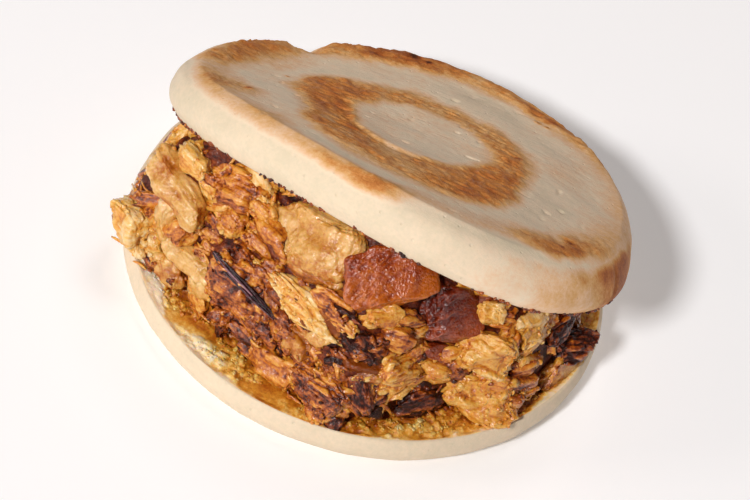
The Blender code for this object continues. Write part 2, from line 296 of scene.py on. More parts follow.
def new_stuff(name):
    """An empty material and its Principled shader, joined to the output."""
    stuff = bpy.data.materials.new(name)
    stuff.use_nodes = True
    tree = stuff.node_tree
    tree.nodes.clear()
    shader = add(tree, "ShaderNodeBsdfPrincipled")
    add(tree, "ShaderNodeOutputMaterial", {"Surface": shader.outputs[0]})
    return stuff, tree, shader


def mottled(tree, level, patterns):
    """A level with some of each noise added, once the noise is centred on zero."""
    for pattern, share in patterns:
        centred = add(tree, "ShaderNodeMath", {0: pattern.outputs["Fac"], 1: 0.5},
                      operation="SUBTRACT")
        level = add(tree, "ShaderNodeMath", {0: centred.outputs[0], 1: share, 2: level},
                    operation="MULTIPLY_ADD").outputs[0]
    return level


# %% [markdown]
# ## Griddled crust
# The dough is wheat flour and water, rolled flat and baked on a dry griddle. Where it
# stays clear of the iron it is a matte floury cream; where it touches it goes golden,
# then brown, with near-black flecks. The browning mark says how long each point has
# touched the iron, and at the right end of the lid's side it also carries a painted
# shade. Noise breaks that mark up at the scale of the crust's blisters, 1 to 4 mm, before
# a colour ramp turns it into bread. Flour scatters light a little under the surface, so
# some subsurface light keeps the cream from looking like plaster.

# %% Material: griddled wheat crust
CRUST_STEPS = ((0.0, "#DCCBAE"), (0.1, "#EDD6B9"), (0.22, "#EBC29A"), (0.36, "#DFAA6C"),
               (0.5, "#CF8844"), (0.68, "#B5662C"), (0.85, "#8C451A"), (1.0, "#4A2410"))


def griddled_crust():
    stuff, tree, shader = new_stuff("griddled_wheat_crust")
    where = add(tree, "ShaderNodeTexCoord").outputs["Object"]
    brown_and_shade = add(tree, "ShaderNodeAttribute", attribute_name="browning_and_shade").outputs["Fac"]
    blister = add(tree, "ShaderNodeTexNoise", {"Vector": where, "Scale": 1 / (3.0 * MM),
                                               "Detail": 5.0, "Roughness": 0.65})
    fleck = add(tree, "ShaderNodeTexNoise", {"Vector": where, "Scale": 1 / (0.8 * MM),
                                             "Detail": 3.0, "Roughness": 0.6})
    uneven = add(tree, "ShaderNodeMath", {0: blister.outputs["Fac"], 1: 0.5}, operation="SUBTRACT")
    fine = add(tree, "ShaderNodeMath", {0: fleck.outputs["Fac"], 1: 0.5}, operation="SUBTRACT")
    spread = add(tree, "ShaderNodeMath", {0: fine.outputs[0], 1: 0.8, 2: uneven.outputs[0]},
                 operation="MULTIPLY_ADD")
    held = add(tree, "ShaderNodeMapRange", {"Value": brown_and_shade, "From Min": 0.05, "From Max": 0.5,
                                            "To Min": 0.15, "To Max": 0.5})
    level = add(tree, "ShaderNodeMath", {0: spread.outputs[0], 1: held.outputs[0], 2: brown_and_shade},
                operation="MULTIPLY_ADD")
    ramp = add(tree, "ShaderNodeValToRGB", {"Fac": level.outputs[0]})
    colour_steps(ramp, CRUST_STEPS)
    drawn = add(tree, "ShaderNodeMapping", {"Vector": where, "Scale": (0.45, 1.0, 1.0),
                                            "Rotation": (0.0, 0.0, math.radians(20))})
    skin = add(tree, "ShaderNodeTexNoise", {"Vector": drawn.outputs[0], "Scale": 1 / (0.7 * MM),
                                            "Detail": 5.0, "Roughness": 0.65, "Distortion": 0.6})
    deeper = add(tree, "ShaderNodeMapRange", {"Value": brown_and_shade, "From Min": 0.25, "From Max": 0.7,
                                              "To Min": 0.3, "To Max": 1.0})
    wrinkled = add(tree, "ShaderNodeMath", {0: skin.outputs["Fac"], 1: deeper.outputs[0]},
                   operation="MULTIPLY")
    pores = add(tree, "ShaderNodeTexVoronoi", {"Vector": where, "Scale": 1 / (3.1 * MM)},
                feature="F1")
    pit = add(tree, "ShaderNodeMapRange", {"Value": pores.outputs["Distance"], "From Min": 0.04,
                                           "From Max": 0.12, "To Min": -0.35, "To Max": 0.0})
    height = add(tree, "ShaderNodeMath", {0: wrinkled.outputs[0], 1: pit.outputs[0]},
                 operation="ADD")
    bump = add(tree, "ShaderNodeBump", {"Height": height.outputs[0], "Strength": 0.75,
                                        "Distance": 0.45 * MM})
    feed(tree, shader, {"Base Color": ramp.outputs[0], "Normal": bump.outputs[0],
                        "Roughness": 0.62, "Specular IOR Level": 0.3, "Subsurface Weight": 0.12,
                        "Subsurface Radius": (1.0, 0.7, 0.45), "Subsurface Scale": 1.5 * MM})
    return stuff


CRUST = griddled_crust()

# %% [markdown]
# ## Torn crumb, dry and soaked
# Inside the crust the bread is a white, dense crumb with small holes. The cook slits it
# with a knife, and braising gravy soaks into the cut face. Dry crumb is rough and pale;
# soaked crumb turns golden, glossy and a little translucent, darker where the gravy
# pools. The mark "soak" runs from 0 to 1, and above about 0.7 the gravy stands on top.

# %% Material: bread crumb with braising gravy
CRUMB_STEPS = ((0.0, "#FFE8C8"), (0.12, "#FCDAA0"), (0.26, "#F4C468"), (0.42, "#E09A30"),
               (0.62, "#BC6612"), (0.82, "#8E3F08"), (1.0, "#5A2004"))


def soaked_crumb():
    stuff, tree, shader = new_stuff("torn_crumb_with_gravy")
    where = add(tree, "ShaderNodeTexCoord").outputs["Object"]
    soak = add(tree, "ShaderNodeAttribute", attribute_name="soak").outputs["Fac"]
    stain = add(tree, "ShaderNodeTexNoise", {"Vector": where, "Scale": 1 / (4.0 * MM),
                                             "Detail": 4.0, "Roughness": 0.6})
    grit = add(tree, "ShaderNodeTexNoise", {"Vector": where, "Scale": 1 / (1.0 * MM),
                                            "Detail": 4.0, "Roughness": 0.65})
    level = mottled(tree, soak, ((stain, 0.6), (grit, 0.45)))
    ramp = add(tree, "ShaderNodeValToRGB", {"Fac": level})
    colour_steps(ramp, CRUMB_STEPS)
    wet = add(tree, "ShaderNodeMapRange", {"Value": level, "From Min": 0.15, "From Max": 0.5,
                                           "To Min": 0.8, "To Max": 0.3})
    film = add(tree, "ShaderNodeMapRange", {"Value": level, "From Min": 0.25, "From Max": 0.6,
                                            "To Min": 0.0, "To Max": 0.8})
    holes = add(tree, "ShaderNodeTexNoise", {"Vector": where, "Scale": 1 / (0.8 * MM),
                                             "Detail": 5.0, "Roughness": 0.7})
    bump = add(tree, "ShaderNodeBump", {"Height": holes.outputs["Fac"], "Strength": 0.6,
                                        "Distance": 0.28 * MM})
    gloss = add(tree, "ShaderNodeBump", {"Height": grit.outputs["Fac"], "Strength": 1.0,
                                         "Distance": 0.5 * MM})
    feed(tree, shader, {"Base Color": ramp.outputs[0], "Roughness": wet.outputs[0],
                        "Normal": bump.outputs[0], "Subsurface Weight": 0.4,
                        "Subsurface Radius": (1.0, 0.55, 0.2), "Subsurface Scale": 1.6 * MM,
                        "Coat Weight": film.outputs[0], "Coat Roughness": 0.22, "Coat IOR": 1.5,
                        "Coat Normal": gloss.outputs[0]})
    return stuff


CRUMB = soaked_crumb()

# %% [markdown]
# ## The lid
# The upper half of the bread is one closed round solid: rings of points run from the
# middle of the cut face out over the side and in to the middle of the griddled top. It
# could be sculpted by hand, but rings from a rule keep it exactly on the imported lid.
# The top rose into two browned rings where it pressed on the iron, with a sunk pale band
# between them; the rim is pinched in behind a puffed lobe at the back left.

# %% Where the lid lies
def lid_axes():
    tilt, lean = math.radians(-LID_TILT), math.radians(LID_LEAN)
    about_x = np.array([[1, 0, 0], [0, math.cos(tilt), -math.sin(tilt)],
                        [0, math.sin(tilt), math.cos(tilt)]])
    about_y = np.array([[math.cos(lean), 0, math.sin(lean)], [0, 1, 0],
                        [-math.sin(lean), 0, math.cos(lean)]])
    return about_x @ about_y


LID_AXES = lid_axes()


def lid_warp(x, y):
    return sum(size * (x / LID_RADIUS) ** i * (y / LID_RADIUS) ** j for i, j, size in LID_WARP)


def lid_place(x, y, height):
    """From the lid's own measures to the shared frame, for many points."""
    return np.stack([x, y, height + lid_warp(x, y)], -1) @ LID_AXES.T + LID_CENTRE


def lid_underside(x, y):
    """Height of the lid's cut face over plan positions."""
    x, y = np.broadcast_arrays(np.asarray(x, float), np.asarray(y, float))
    height = np.full(x.shape, LID_CENTRE[2])
    for _ in range(12):
        own = (np.stack([x, y, height], -1) - LID_CENTRE) @ LID_AXES
        height = height - (own[..., 2] + LID_THICKNESS / 2 - lid_warp(own[..., 0], own[..., 1]))
    return height


# %% Marks of the griddle
def from_middle(x, y):
    """Flat places, bearings in degrees, and distances as a share of the lid's radius."""
    flat = np.stack([x, y, np.zeros_like(x)], -1)
    return flat, np.degrees(np.arctan2(y, x)) % 360, np.hypot(x, y) / LID_RADIUS


def inner_edge(bearing):
    """Where the inner browned ring starts, as a share of the radius."""
    return 0.295 + 0.085 * round_hump(bearing, 270, 45)


# Browned stretches of the outer ring: bearing, width in degrees, strength.
OUTER_STRETCHES = ((107, 24, 0.58), (66, 14, 0.3), (45, 14, 0.25), (325, 17, 0.46),
                   (266, 12, 0.5), (162, 24, 0.42), (204, 11, 0.3), (238, 12, 0.2), (3, 14, 0.1))
# Smears between the rings: strength, bearing and width, distance out and thickness.
SMEARS = ((0.28, 206, 9, 0.74, 0.06), (0.16, 160, 16, 0.72, 0.05), (0.06, 25, 14, 0.58, 0.06))
# Near-black flecks: bearing, distance out, reach in mm.
FLECKS = ((106, 0.9, 1.3), (102, 0.87, 0.8), (63, 0.79, 0.9), (60, 0.8, 0.6), (328, 0.86, 0.9),
          (322, 0.9, 0.7), (22, 0.41, 0.7), (170, 0.62, 0.6), (206, 0.74, 0.7))
print("griddle marks:", len(OUTER_STRETCHES), "stretches,", len(FLECKS), "flecks")


# %% How brown the top is, and the shade painted on the side
def inner_ring(bearing, out):
    start = inner_edge(bearing)
    end = (0.49 + 0.10 * round_hump(bearing, 157, 22) + 0.04 * round_hump(bearing, 183, 12)
           + 0.25 * round_hump(bearing, 264, 42) + 0.12 * round_hump(bearing, 306, 26))
    ring = ease(start - 0.05, start + 0.05, out)
    ring *= 1.0 - ease(end - 0.09, end + 0.05, out)
    ring *= (0.40 + 0.1 * round_hump(bearing, 175, 40) + 0.10 * round_hump(bearing, 325, 45)
             - 0.08 * round_hump(bearing, 100, 40) - 0.07 * round_hump(bearing, 274, 25))
    return ring


def outer_ring(bearing, out):
    start = (0.79 + 0.11 * round_hump(bearing, 268, 20) + 0.05 * round_hump(bearing, 50, 25)
             + 0.03 * round_hump(bearing, 322, 16))
    end = 0.955 + 0.06 * round_hump(bearing, 268, 22)
    strength = sum(size * round_hump(bearing, centre, width)
                   for centre, width, size in OUTER_STRETCHES)
    ring = ease(start - 0.07, start + 0.07, out) * (1.0 - ease(end - 0.05, end + 0.04, out))
    ring *= np.clip(strength + 0.06, 0.0, 1.0)
    return ring


def lid_browning_and_shade(x, y, level):
    """0 floury, 1 nearly burnt, over the lid's top and its upper edge; on the side, light browning and a
    painted shade.
    """
    flat, bearing, out = from_middle(x, y)
    out = out + 0.022 * soft_noise(flat, 9.0, 3) + 0.012 * soft_noise(flat, 3.0, 4)
    smears = sum(size * round_hump(bearing, centre, width) * hump(out, away, thick)
                 for size, centre, width, away, thick in SMEARS)
    mottling = 1.0 + 0.3 * soft_noise(flat, 5.0, 8) + 0.12 * soft_noise(flat, 2.0, 9)
    toast = 0.1 + 0.05 * soft_noise(flat, 11.0, 6) + 0.04 * soft_noise(flat, 4.0, 7)
    toast *= 1.0 - ease(0.9, 0.985, out)
    flecks = 0.0
    for spot_bearing, spot_out, reach in FLECKS:
        spot_x = spot_out * LID_RADIUS * math.cos(math.radians(spot_bearing))
        spot_y = spot_out * LID_RADIUS * math.sin(math.radians(spot_bearing))
        flecks = flecks + 0.5 * hump(np.hypot(x - spot_x, (y - spot_y) * 1.4), 0.0, reach)
    browned = inner_ring(bearing, out) + outer_ring(bearing, out) + smears
    top = np.clip(browned * mottling + toast + flecks, 0.0, 1.0)
    around = flat + 40.0 * level[..., None] * np.array([0, 0, 0.3])
    # On the side: light browning, and at its right end (bearing 346) a strong tan that is painted shade,
    # for the side turned away from the lamps.
    side_tan_and_shade = 0.68 * round_hump(bearing, 346, 20) + 0.13 * round_hump(bearing, 312, 18) + 0.025
    side_tan_and_shade += 0.04 * soft_noise(around, 8.0, 11)
    side_tan_and_shade *= 1.0 + 0.35 * soft_noise(around, 4.5, 10)
    return np.maximum(top * ease(0.12, 0.42, level), side_tan_and_shade * (1.0 - ease(0.3, 0.5, level)))


# %% [markdown]
# The crust's relief follows the browning: browned skin rose and then wrinkled as it
# dried, so it gets creases a millimetre or so apart, while the floury skin stays smooth
# apart from a few dents and pin-prick holes.

# %% Relief of the lid's top
def lid_relief(x, y, level, brown_and_shade):
    flat, bearing, out = from_middle(x, y)
    inner = np.hypot(x + 0.9, y + 8.2) / LID_RADIUS
    raised = hump(out, 0.89, 0.05) + hump(inner, 0.44, 0.08)
    sunk = hump(out, 0.72, 0.09) + hump(inner, 0.12, 0.2)
    wave = soft_noise(flat, 13.0, 2) + 0.5 * soft_noise(flat, 6.0, 12)
    bent = (flat + 1.2 * wave[..., None]) * np.array([0.55, 1.0, 1.0])
    creases = ridged(bent, 1.5, 21) + 0.6 * ridged(bent, 0.9, 22)
    crease_size = 0.04 + 0.26 * ease(0.25, 0.5, brown_and_shade)
    dents = -0.35 * ease(0.62, 0.9, soft_noise(flat, 2.6, 31))
    edge = inner_edge(bearing) + 0.01 * soft_noise(flat, 5.0, 32)
    lip = 0.55 * (1.0 - ease(edge - 0.01, edge + 0.012, out)) * ease(edge - 0.14, edge - 0.02, out)
    lip = (lip - 0.25 * hump(out, edge + 0.022, 0.012)) * round_hump(bearing, 255, 55)
    calm = 1.0 - 0.8 * round_hump(bearing, 245, 60)
    top = 0.28 * calm * (raised - sunk) + 0.3 * calm * wave + crease_size * creases + dents
    swell = 0.9 * hump(out, 0.6, 0.17) * round_hump(bearing, 232, 45)
    return (top + lip + swell) * ease(0.25, 0.45, level)


# %% Build the lid
def lid():
    segments = 440
    under = [(f, -0.5, UNDER) for f in np.linspace(0.05, 0.94, 20)]
    side = [(f, level, SIDE) for f, level in through(LID_SIDE, 28)]
    top = [(f, 0.5, UPPER) for f in np.linspace(0.905, 0.02, 128)]
    fraction, level, band = np.array(under + side + top).T
    is_cut, is_side = (band == UNDER)[:, None], (band == SIDE)[:, None]
    bearing = bearings(segments)
    fraction, level = fraction[:, None], np.repeat(level[:, None], segments, 1)
    radius = np.repeat(fraction, segments, 1) * LID_RADIUS
    for turns, cosine, sine in LID_WAVES:
        angle = turns * np.radians(bearing)
        radius = radius + fraction * LID_RADIUS * (cosine * np.cos(angle) + sine * np.sin(angle))
    x, y = plan(radius, bearing)
    brown_and_shade = lid_browning_and_shade(x.ravel(), y.ravel(), level.ravel()).reshape(x.shape)
    relief = lid_relief(x.ravel(), y.ravel(), level.ravel(), brown_and_shade.ravel()).reshape(x.shape)
    at = np.stack([x, y, level * LID_THICKNESS], -1).reshape(-1, 3)

    def bumps(size, seed):
        return soft_noise(at, size, seed).reshape(x.shape)

    radius = radius + np.where(is_side, 0.3 * bumps(9.0, 41) + 0.12 * bumps(3.5, 42), 0.0)
    fold = hump(turned(bearing, 341.5), 0.0, 0.9) - 0.35 * hump(turned(bearing, 339.0), 0.0, 1.6)
    folded = np.where(is_side, ease(-0.42, -0.2, level) * (1 - ease(0.25, 0.42, level)), 0.0)
    radius = radius - 0.55 * fold * folded
    crumb = np.where(is_cut, 0.7 * np.abs(bumps(5.0, 5)) + 0.35 * np.abs(bumps(1.8, 6)), 0.0)
    near_rim = np.clip(level + 0.3, 0, 1) * np.clip((fraction - 0.8) / 0.12, 0, 1)
    pinch = round_hump(bearing, PINCH_BEARING, PINCH_WIDTH) * near_rim
    radius = radius - 1.2 * PINCH_DEPTH * pinch
    height = level * LID_THICKNESS + relief + crumb - 1.3 * PINCH_DEPTH * pinch
    height = height + LOBE_LIFT * near_rim * round_hump(bearing, LOBE_BEARING, LOBE_WIDTH)
    x, y = plan(radius, bearing)
    rings = lid_place(x, y, height).reshape(-1, 3)
    points = np.vstack([rings[:segments].mean(0), rings, rings[-segments:].mean(0)])
    faces = round_faces(len(band), segments)
    soak = np.where(is_cut, 0.75 - 0.75 * ease(44.0, 53.0, np.hypot(x, y)), 0.0)
    made = piece("lid_bread", points, faces, [CRUST, CRUMB],
                 {"browning_and_shade": with_poles(brown_and_shade), "soak": with_poles(soak)},
                 cut_slots(faces, band, segments, UNDER))
    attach(made, "root")
    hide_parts("bun_top")
    return made


LID = lid()
print("lid points:", len(LID.data.vertices))

# %% [markdown]
# ## The lower half
# The same way of building gives the lower half. Its underside is flat on the floor and
# its side is smooth floury crust. Its cut face is where the eye goes: lumpy crumb that
# drank the gravy round the foot of the heap, with a few dry white patches near the rim.

# %% How reach and height of the heap are found
def heap_reach(bearing):
    """How far the pork comes out over the lower half."""
    return HEAP_RADIUS + sum(out * round_hump(bearing, centre, width)
                             for centre, width, out in HEAP_BULGES)


def past_foot(x, y):
    """How far plan places lie outside the heap's foot, in mm."""
    return np.hypot(x, y) - heap_reach(np.degrees(np.arctan2(y, x)))


def heap_height(x, y, skin=0.0):
    """Height of the heap's surface over plan positions."""
    x, y = np.asarray(x, float), np.asarray(y, float)
    inward = np.maximum(-past_foot(x, y), 0.0)
    free = BASE_HEIGHT + HEAP_RISE * (1.0 - np.exp(-inward / HEAP_RUN)) - skin
    pressed = np.maximum(lid_underside(x, y) - GAP, BASE_HEIGHT + 1.0)
    blend = 2.0
    height = -blend * np.logaddexp(-free / blend, -pressed / blend)
    return np.where(inward <= 0.0, BASE_HEIGHT, height)


def heap_normal(x, y):
    step = 1.0
    slope_x = float(heap_height(x + step, y) - heap_height(x - step, y)) / (2 * step)
    slope_y = float(heap_height(x, y + step) - heap_height(x, y - step)) / (2 * step)
    return Vector((-slope_x, -slope_y, 1.0)).normalized()


def leaning(x, y, dice, amount):
    """The slope's normal, tipped a little at random."""
    return (heap_normal(x, y) + Vector([dice.gauss(0, amount) for _ in range(3)])).normalized()


def on_slope(bearing, inset, risen):
    """A place on the slope, risen from 0 at its foot, and its room up to the lid."""
    radius = float(heap_reach(bearing)) - inset + HEAP_RUN * math.log(1.0 - risen)
    x, y = radius * math.cos(math.radians(bearing)), radius * math.sin(math.radians(bearing))
    height = float(heap_height(x, y))
    return x, y, height, float(lid_underside(x, y)) - height


# %% Build the lower half
def soaked_to(bearing):
    """Radius that the gravy reached, in mm."""
    return (54.5 - 6.9 * round_hump(bearing, 221, 9) - 1.5 * round_hump(bearing, 250, 10)
            - 1.4 * round_hump(bearing, 315, 6) - 2.0 * round_hump(bearing, 343, 8)
            - 1.5 * round_hump(bearing, 90, 80))


def lower_half():
    segments = 640
    under = [(f, 0.0, UNDER) for f in np.linspace(0.05, 0.92, 14)]
    side = [(f, level, SIDE) for f, level in through(BASE_SIDE, 22)]
    cut = [(f, 1.0, UPPER) for f in np.concatenate([np.linspace(0.978, 0.72, 62),
                                                    np.linspace(0.68, 0.04, 12)])]
    fraction, level, band = np.array(under + side + cut).T
    bearing = bearings(segments)
    radius = np.repeat(fraction[:, None] * BREAD_RADIUS, segments, 1)
    level = np.repeat(level[:, None], segments, 1)
    x, y = plan(radius, bearing)
    at = np.stack([x, y, level * BASE_HEIGHT], -1).reshape(-1, 3)

    def bumps(size, seed):
        return soft_noise(at, size, seed).reshape(x.shape)

    is_cut, is_side = (band == UPPER)[:, None], (band == SIDE)[:, None]
    soak = 1.0 - ease(-1.2, 1.2, radius + 1.4 * bumps(3.5, 51) - soaked_to(bearing))
    near_foot = ease(-5.0, 1.0, heap_reach(bearing) - radius + 1.5 * bumps(5.0, 52))
    swirl = at + 1.1 * np.stack([soft_noise(at, 2.4, 61), soft_noise(at, 2.4, 62), 0 * at[:, 2]], -1)
    border, own = (v.reshape(x.shape) for v in cells(swirl * np.array([1, 0.8, 1]), 1.9, 54))
    small, small_own = (v.reshape(x.shape) for v in cells(swirl, 0.95, 55))
    mash = ease(-0.55, -0.1, bumps(5.5, 63) + 0.3 * bumps(2.2, 64))
    dome, grain = ease(0.0, 0.5, border), ease(0.0, 0.6, small)
    lumps = mash * (0.5 * (dome - 0.5) + 0.7 * (own - 0.5) + 0.4 * (small_own - 0.5) * grain)
    lumps = (lumps - 0.12 * (1.0 - mash)) * (0.35 + 0.65 * soak) + 0.35 * bumps(5.0, 56)
    paler = 0.3 * round_hump(bearing, 242, 10) * ease(47.0, 50.0, radius)
    soak = np.clip((0.33 - paler) * soak + 0.22 * soak * near_foot + 0.06 * soak * bumps(6.0, 53)
                   + 0.16 * soak * (1.0 - mash), 0, 1)
    blotch = 0.45 * (own - 0.5) + 0.35 * (small_own - 0.5) + 0.3 * (dome - 0.6)
    soak = np.clip(soak - soak * mash * blotch, 0, 1)
    height = level * BASE_HEIGHT
    inset = 1.0 - ease(0.955, 0.978, radius / BREAD_RADIUS)
    height = height + np.where(is_cut, inset * (-0.35 + 1.1 * lumps), 0.0)
    edge = ease(0.8, 1.0, level) * is_side
    height = height + edge * 0.35 * bumps(4.0, 57)
    radius = radius + np.where(is_side, 0.22 * bumps(9.0, 58) + 0.08 * bumps(3.0, 59), 0.0)
    radius = np.minimum(radius, BREAD_RADIUS * 1.006)
    x, y = plan(radius, bearing)
    rings = np.stack([x, y, height], -1).reshape(-1, 3)
    points = np.vstack([[0, 0, 0], rings, rings[-segments:].mean(0)])
    faces = round_faces(len(band), segments)
    flat = np.stack([x, y, 0 * x], -1).reshape(-1, 3)
    out = np.hypot(x, y) / BREAD_RADIUS
    below = hump(out, 0.84, 0.07) + hump(out, 0.42, 0.1)
    uneven = 1 + 0.3 * soft_noise(flat, 5.0, 61).reshape(x.shape)
    brown_and_shade = np.clip(np.where((band == UNDER)[:, None], 0.6 * below * uneven, 0.06), 0, 1)
    made = piece("lower_bread", points, faces, [CRUST, CRUMB],
                 {"browning_and_shade": with_poles(brown_and_shade), "soak": with_poles(soak)},
                 cut_slots(faces, band, segments, UPPER))
    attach(made, "root")
    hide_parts("bun_bottom")
    return made


BASE = lower_half()
print("lower half points:", len(BASE.data.vertices))

# %% [markdown]
# ## Braised pork
# Shoulder and belly are simmered for hours with soy sauce and spices, then chopped.
# Lean meat falls into bundles of fibres; it is red-brown outside where the gravy coats
# it and golden tan inside where the cleaver opened it. One recipe serves all cuts: the
# mark "tone" slides along a colour ramp from dark gravy to pale inside, the mark "grain"
# holds the piece's own measures in mm with the fibres along its first axis. Streaks
# follow that axis 0.5 mm apart, and gravy stains run across them. The bump under the
# clear coat is what breaks the light into the many small sparks of a wet surface.

# %% Material: braised pork, lean to fat
def braised_pork(name, steps, shine=0.9, rough=0.42, scatter=0.15, streak=1.0, wrinkle=0.0,
                 spread=1.0, relief=0.7, polish=0.24):
    """One cut's finish. The clear coat is the gravy: polish is how rough that is."""
    stuff, tree, shader = new_stuff(name)
    grain = add(tree, "ShaderNodeAttribute", attribute_name="grain").outputs["Vector"]
    tone = add(tree, "ShaderNodeAttribute", attribute_name="tone").outputs["Fac"]
    along = add(tree, "ShaderNodeMapping", {"Vector": grain, "Scale": (0.2, 1.0, 1.0)})
    fibre = add(tree, "ShaderNodeTexNoise", {"Vector": along.outputs[0], "Scale": 1 / 0.55,
                                             "Detail": 3.0, "Roughness": 0.6})
    stain = add(tree, "ShaderNodeTexNoise", {"Vector": grain, "Scale": 1 / 3.4, "Detail": 5.0,
                                             "Roughness": 0.68})
    grit = add(tree, "ShaderNodeTexNoise", {"Vector": grain, "Scale": 1 / 0.7, "Detail": 2.0,
                                            "Roughness": 0.5})
    level = mottled(tree, tone, ((fibre, 0.6 * streak * spread), (grit, 0.5 * spread),
                                 (stain, 0.85 * spread)))
    ramp = add(tree, "ShaderNodeValToRGB", {"Fac": level})
    colour_steps(ramp, steps)
    wet = add(tree, "ShaderNodeMapRange", {"Value": level, "From Min": -0.05, "From Max": 0.4,
                                           "To Min": 0.25 * shine, "To Max": shine})
    folds = add(tree, "ShaderNodeTexVoronoi", {"Vector": grain, "Scale": 1 / 0.8},
                feature="DISTANCE_TO_EDGE")
    lines = add(tree, "ShaderNodeMath", {0: fibre.outputs["Fac"], 1: 1.2 * streak,
                                         2: grit.outputs["Fac"]}, operation="MULTIPLY_ADD")
    height = add(tree, "ShaderNodeMath", {0: folds.outputs["Distance"], 1: wrinkle,
                                          2: lines.outputs[0]}, operation="MULTIPLY_ADD")
    bump = add(tree, "ShaderNodeBump", {"Height": height.outputs[0], "Strength": relief,
                                        "Distance": 0.3 * MM})
    film = add(tree, "ShaderNodeTexNoise", {"Vector": grain, "Scale": 1 / 1.15, "Detail": 3.0,
                                            "Roughness": 0.55})
    pooled = add(tree, "ShaderNodeMath", {0: folds.outputs["Distance"], 1: 0.35 * wrinkle,
                                          2: film.outputs["Fac"]}, operation="MULTIPLY_ADD")
    gloss = add(tree, "ShaderNodeBump", {"Height": pooled.outputs[0], "Strength": 1.0,
                                         "Distance": 0.6 * MM})
    feed(tree, shader, {"Base Color": ramp.outputs[0], "Roughness": rough,
                        "Normal": bump.outputs[0], "Specular IOR Level": 0.2,
                        "Subsurface Weight": scatter, "Subsurface Radius": (1.0, 0.42, 0.15),
                        "Subsurface Scale": 1.4 * MM, "Coat Weight": wet.outputs[0],
                        "Coat Roughness": polish, "Coat IOR": 1.6,
                        "Coat Normal": gloss.outputs[0]})
    return stuff


LEAN_STEPS = ((0.0, "#2E0A02"), (0.12, "#5A1C04"), (0.27, "#98440A"), (0.42, "#C87018"),
              (0.58, "#DE942E"), (0.78, "#E9B154"), (1.0, "#F2CE94"))
FAT_STEPS = ((0.0, "#7E3804"), (0.2, "#B4640C"), (0.42, "#D69E4A"), (0.66, "#E6BA78"),
             (1.0, "#F6E2BC"))
SKIN_STEPS = ((0.0, "#2A0602"), (0.22, "#5C1503"), (0.45, "#943707"), (0.7, "#C0600C"),
              (1.0, "#DC9430"))
# Lean: dark gravy and painted shade in the grooves, and golden fibres where the cleaver opened them.
LEAN = braised_pork("braised_lean_pork", LEAN_STEPS)
# Fat: pale and a little translucent, under the thickest film of gravy.
FAT = braised_pork("soft_pork_fat", FAT_STEPS, shine=1.0, rough=0.35, scatter=0.4,
                   streak=0.2, spread=0.8)
# Skin: a deep red-brown glaze that gleams between fine wrinkles.
RIND = braised_pork("braised_pork_skin", SKIN_STEPS, shine=1.0, rough=0.3, scatter=0.1,
                    streak=0.05, wrinkle=1.6, spread=0.6, relief=0.3, polish=0.2)

# %% [markdown]
# ## A torn piece
# Every chunk starts as a cube rounded into a ball, cut flat a few times where the knife
# passed, and swelled by noise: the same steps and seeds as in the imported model. Then
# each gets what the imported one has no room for. Lean meat gets ridges along its fibres
# and frayed ends, fat gets soft lumps, and skin stays smooth apart from fine wrinkles.

# %% Shape one torn piece
def ball(parts, kept={}):
    """Unit ball from a cube whose edges are cut into equal parts."""
    if parts not in kept:
        cube = bmesh.new()
        bmesh.ops.create_cube(cube, size=2.0)
        bmesh.ops.subdivide_edges(cube, edges=cube.edges[:], cuts=parts - 1, use_grid_fill=True)
        points = np.array([vertex.co.normalized()[:] for vertex in cube.verts])
        faces = np.array([[vertex.index for vertex in face.verts] for face in cube.faces])
        cube.free()
        kept[parts] = (points, faces)
    return kept[parts]


def outward(points, faces):
    """Unit normals at the points of a mesh of quads."""
    a, b, c, d = (points[faces[:, i]] for i in range(4))
    across = np.cross(c - a, d - b)
    total = np.zeros_like(points)
    for i in range(4):
        np.add.at(total, faces[:, i], across)
    return total / (np.linalg.norm(total, axis=1)[:, None] + 1e-12)


def torn_shape(size, seed, parts):
    """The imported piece's own shape, with finer faces."""
    dice = random.Random(seed)
    points, faces = ball(parts)
    shaped = np.sign(points) * np.abs(points) ** 0.72
    for _ in range(7):
        cut = np.array([dice.gauss(0, 1) for _ in range(3)])
        cut /= np.linalg.norm(cut)
        beyond = np.maximum(shaped @ cut - dice.uniform(0.62, 0.95), 0.0)
        shaped = shaped - beyond[:, None] * cut
    shaped = shaped * (np.array(size) / 2)
    for row in shaped:
        swell = 1.0 + 0.22 * ripple(row, 5.0, seed)
        lines = 0.35 * ripple((row[0] * 0.2, row[1] * 1.6, row[2] * 1.6), 2.2, seed + 1)
        row *= swell + lines / max(size[1], 1.0)
    return shaped, faces


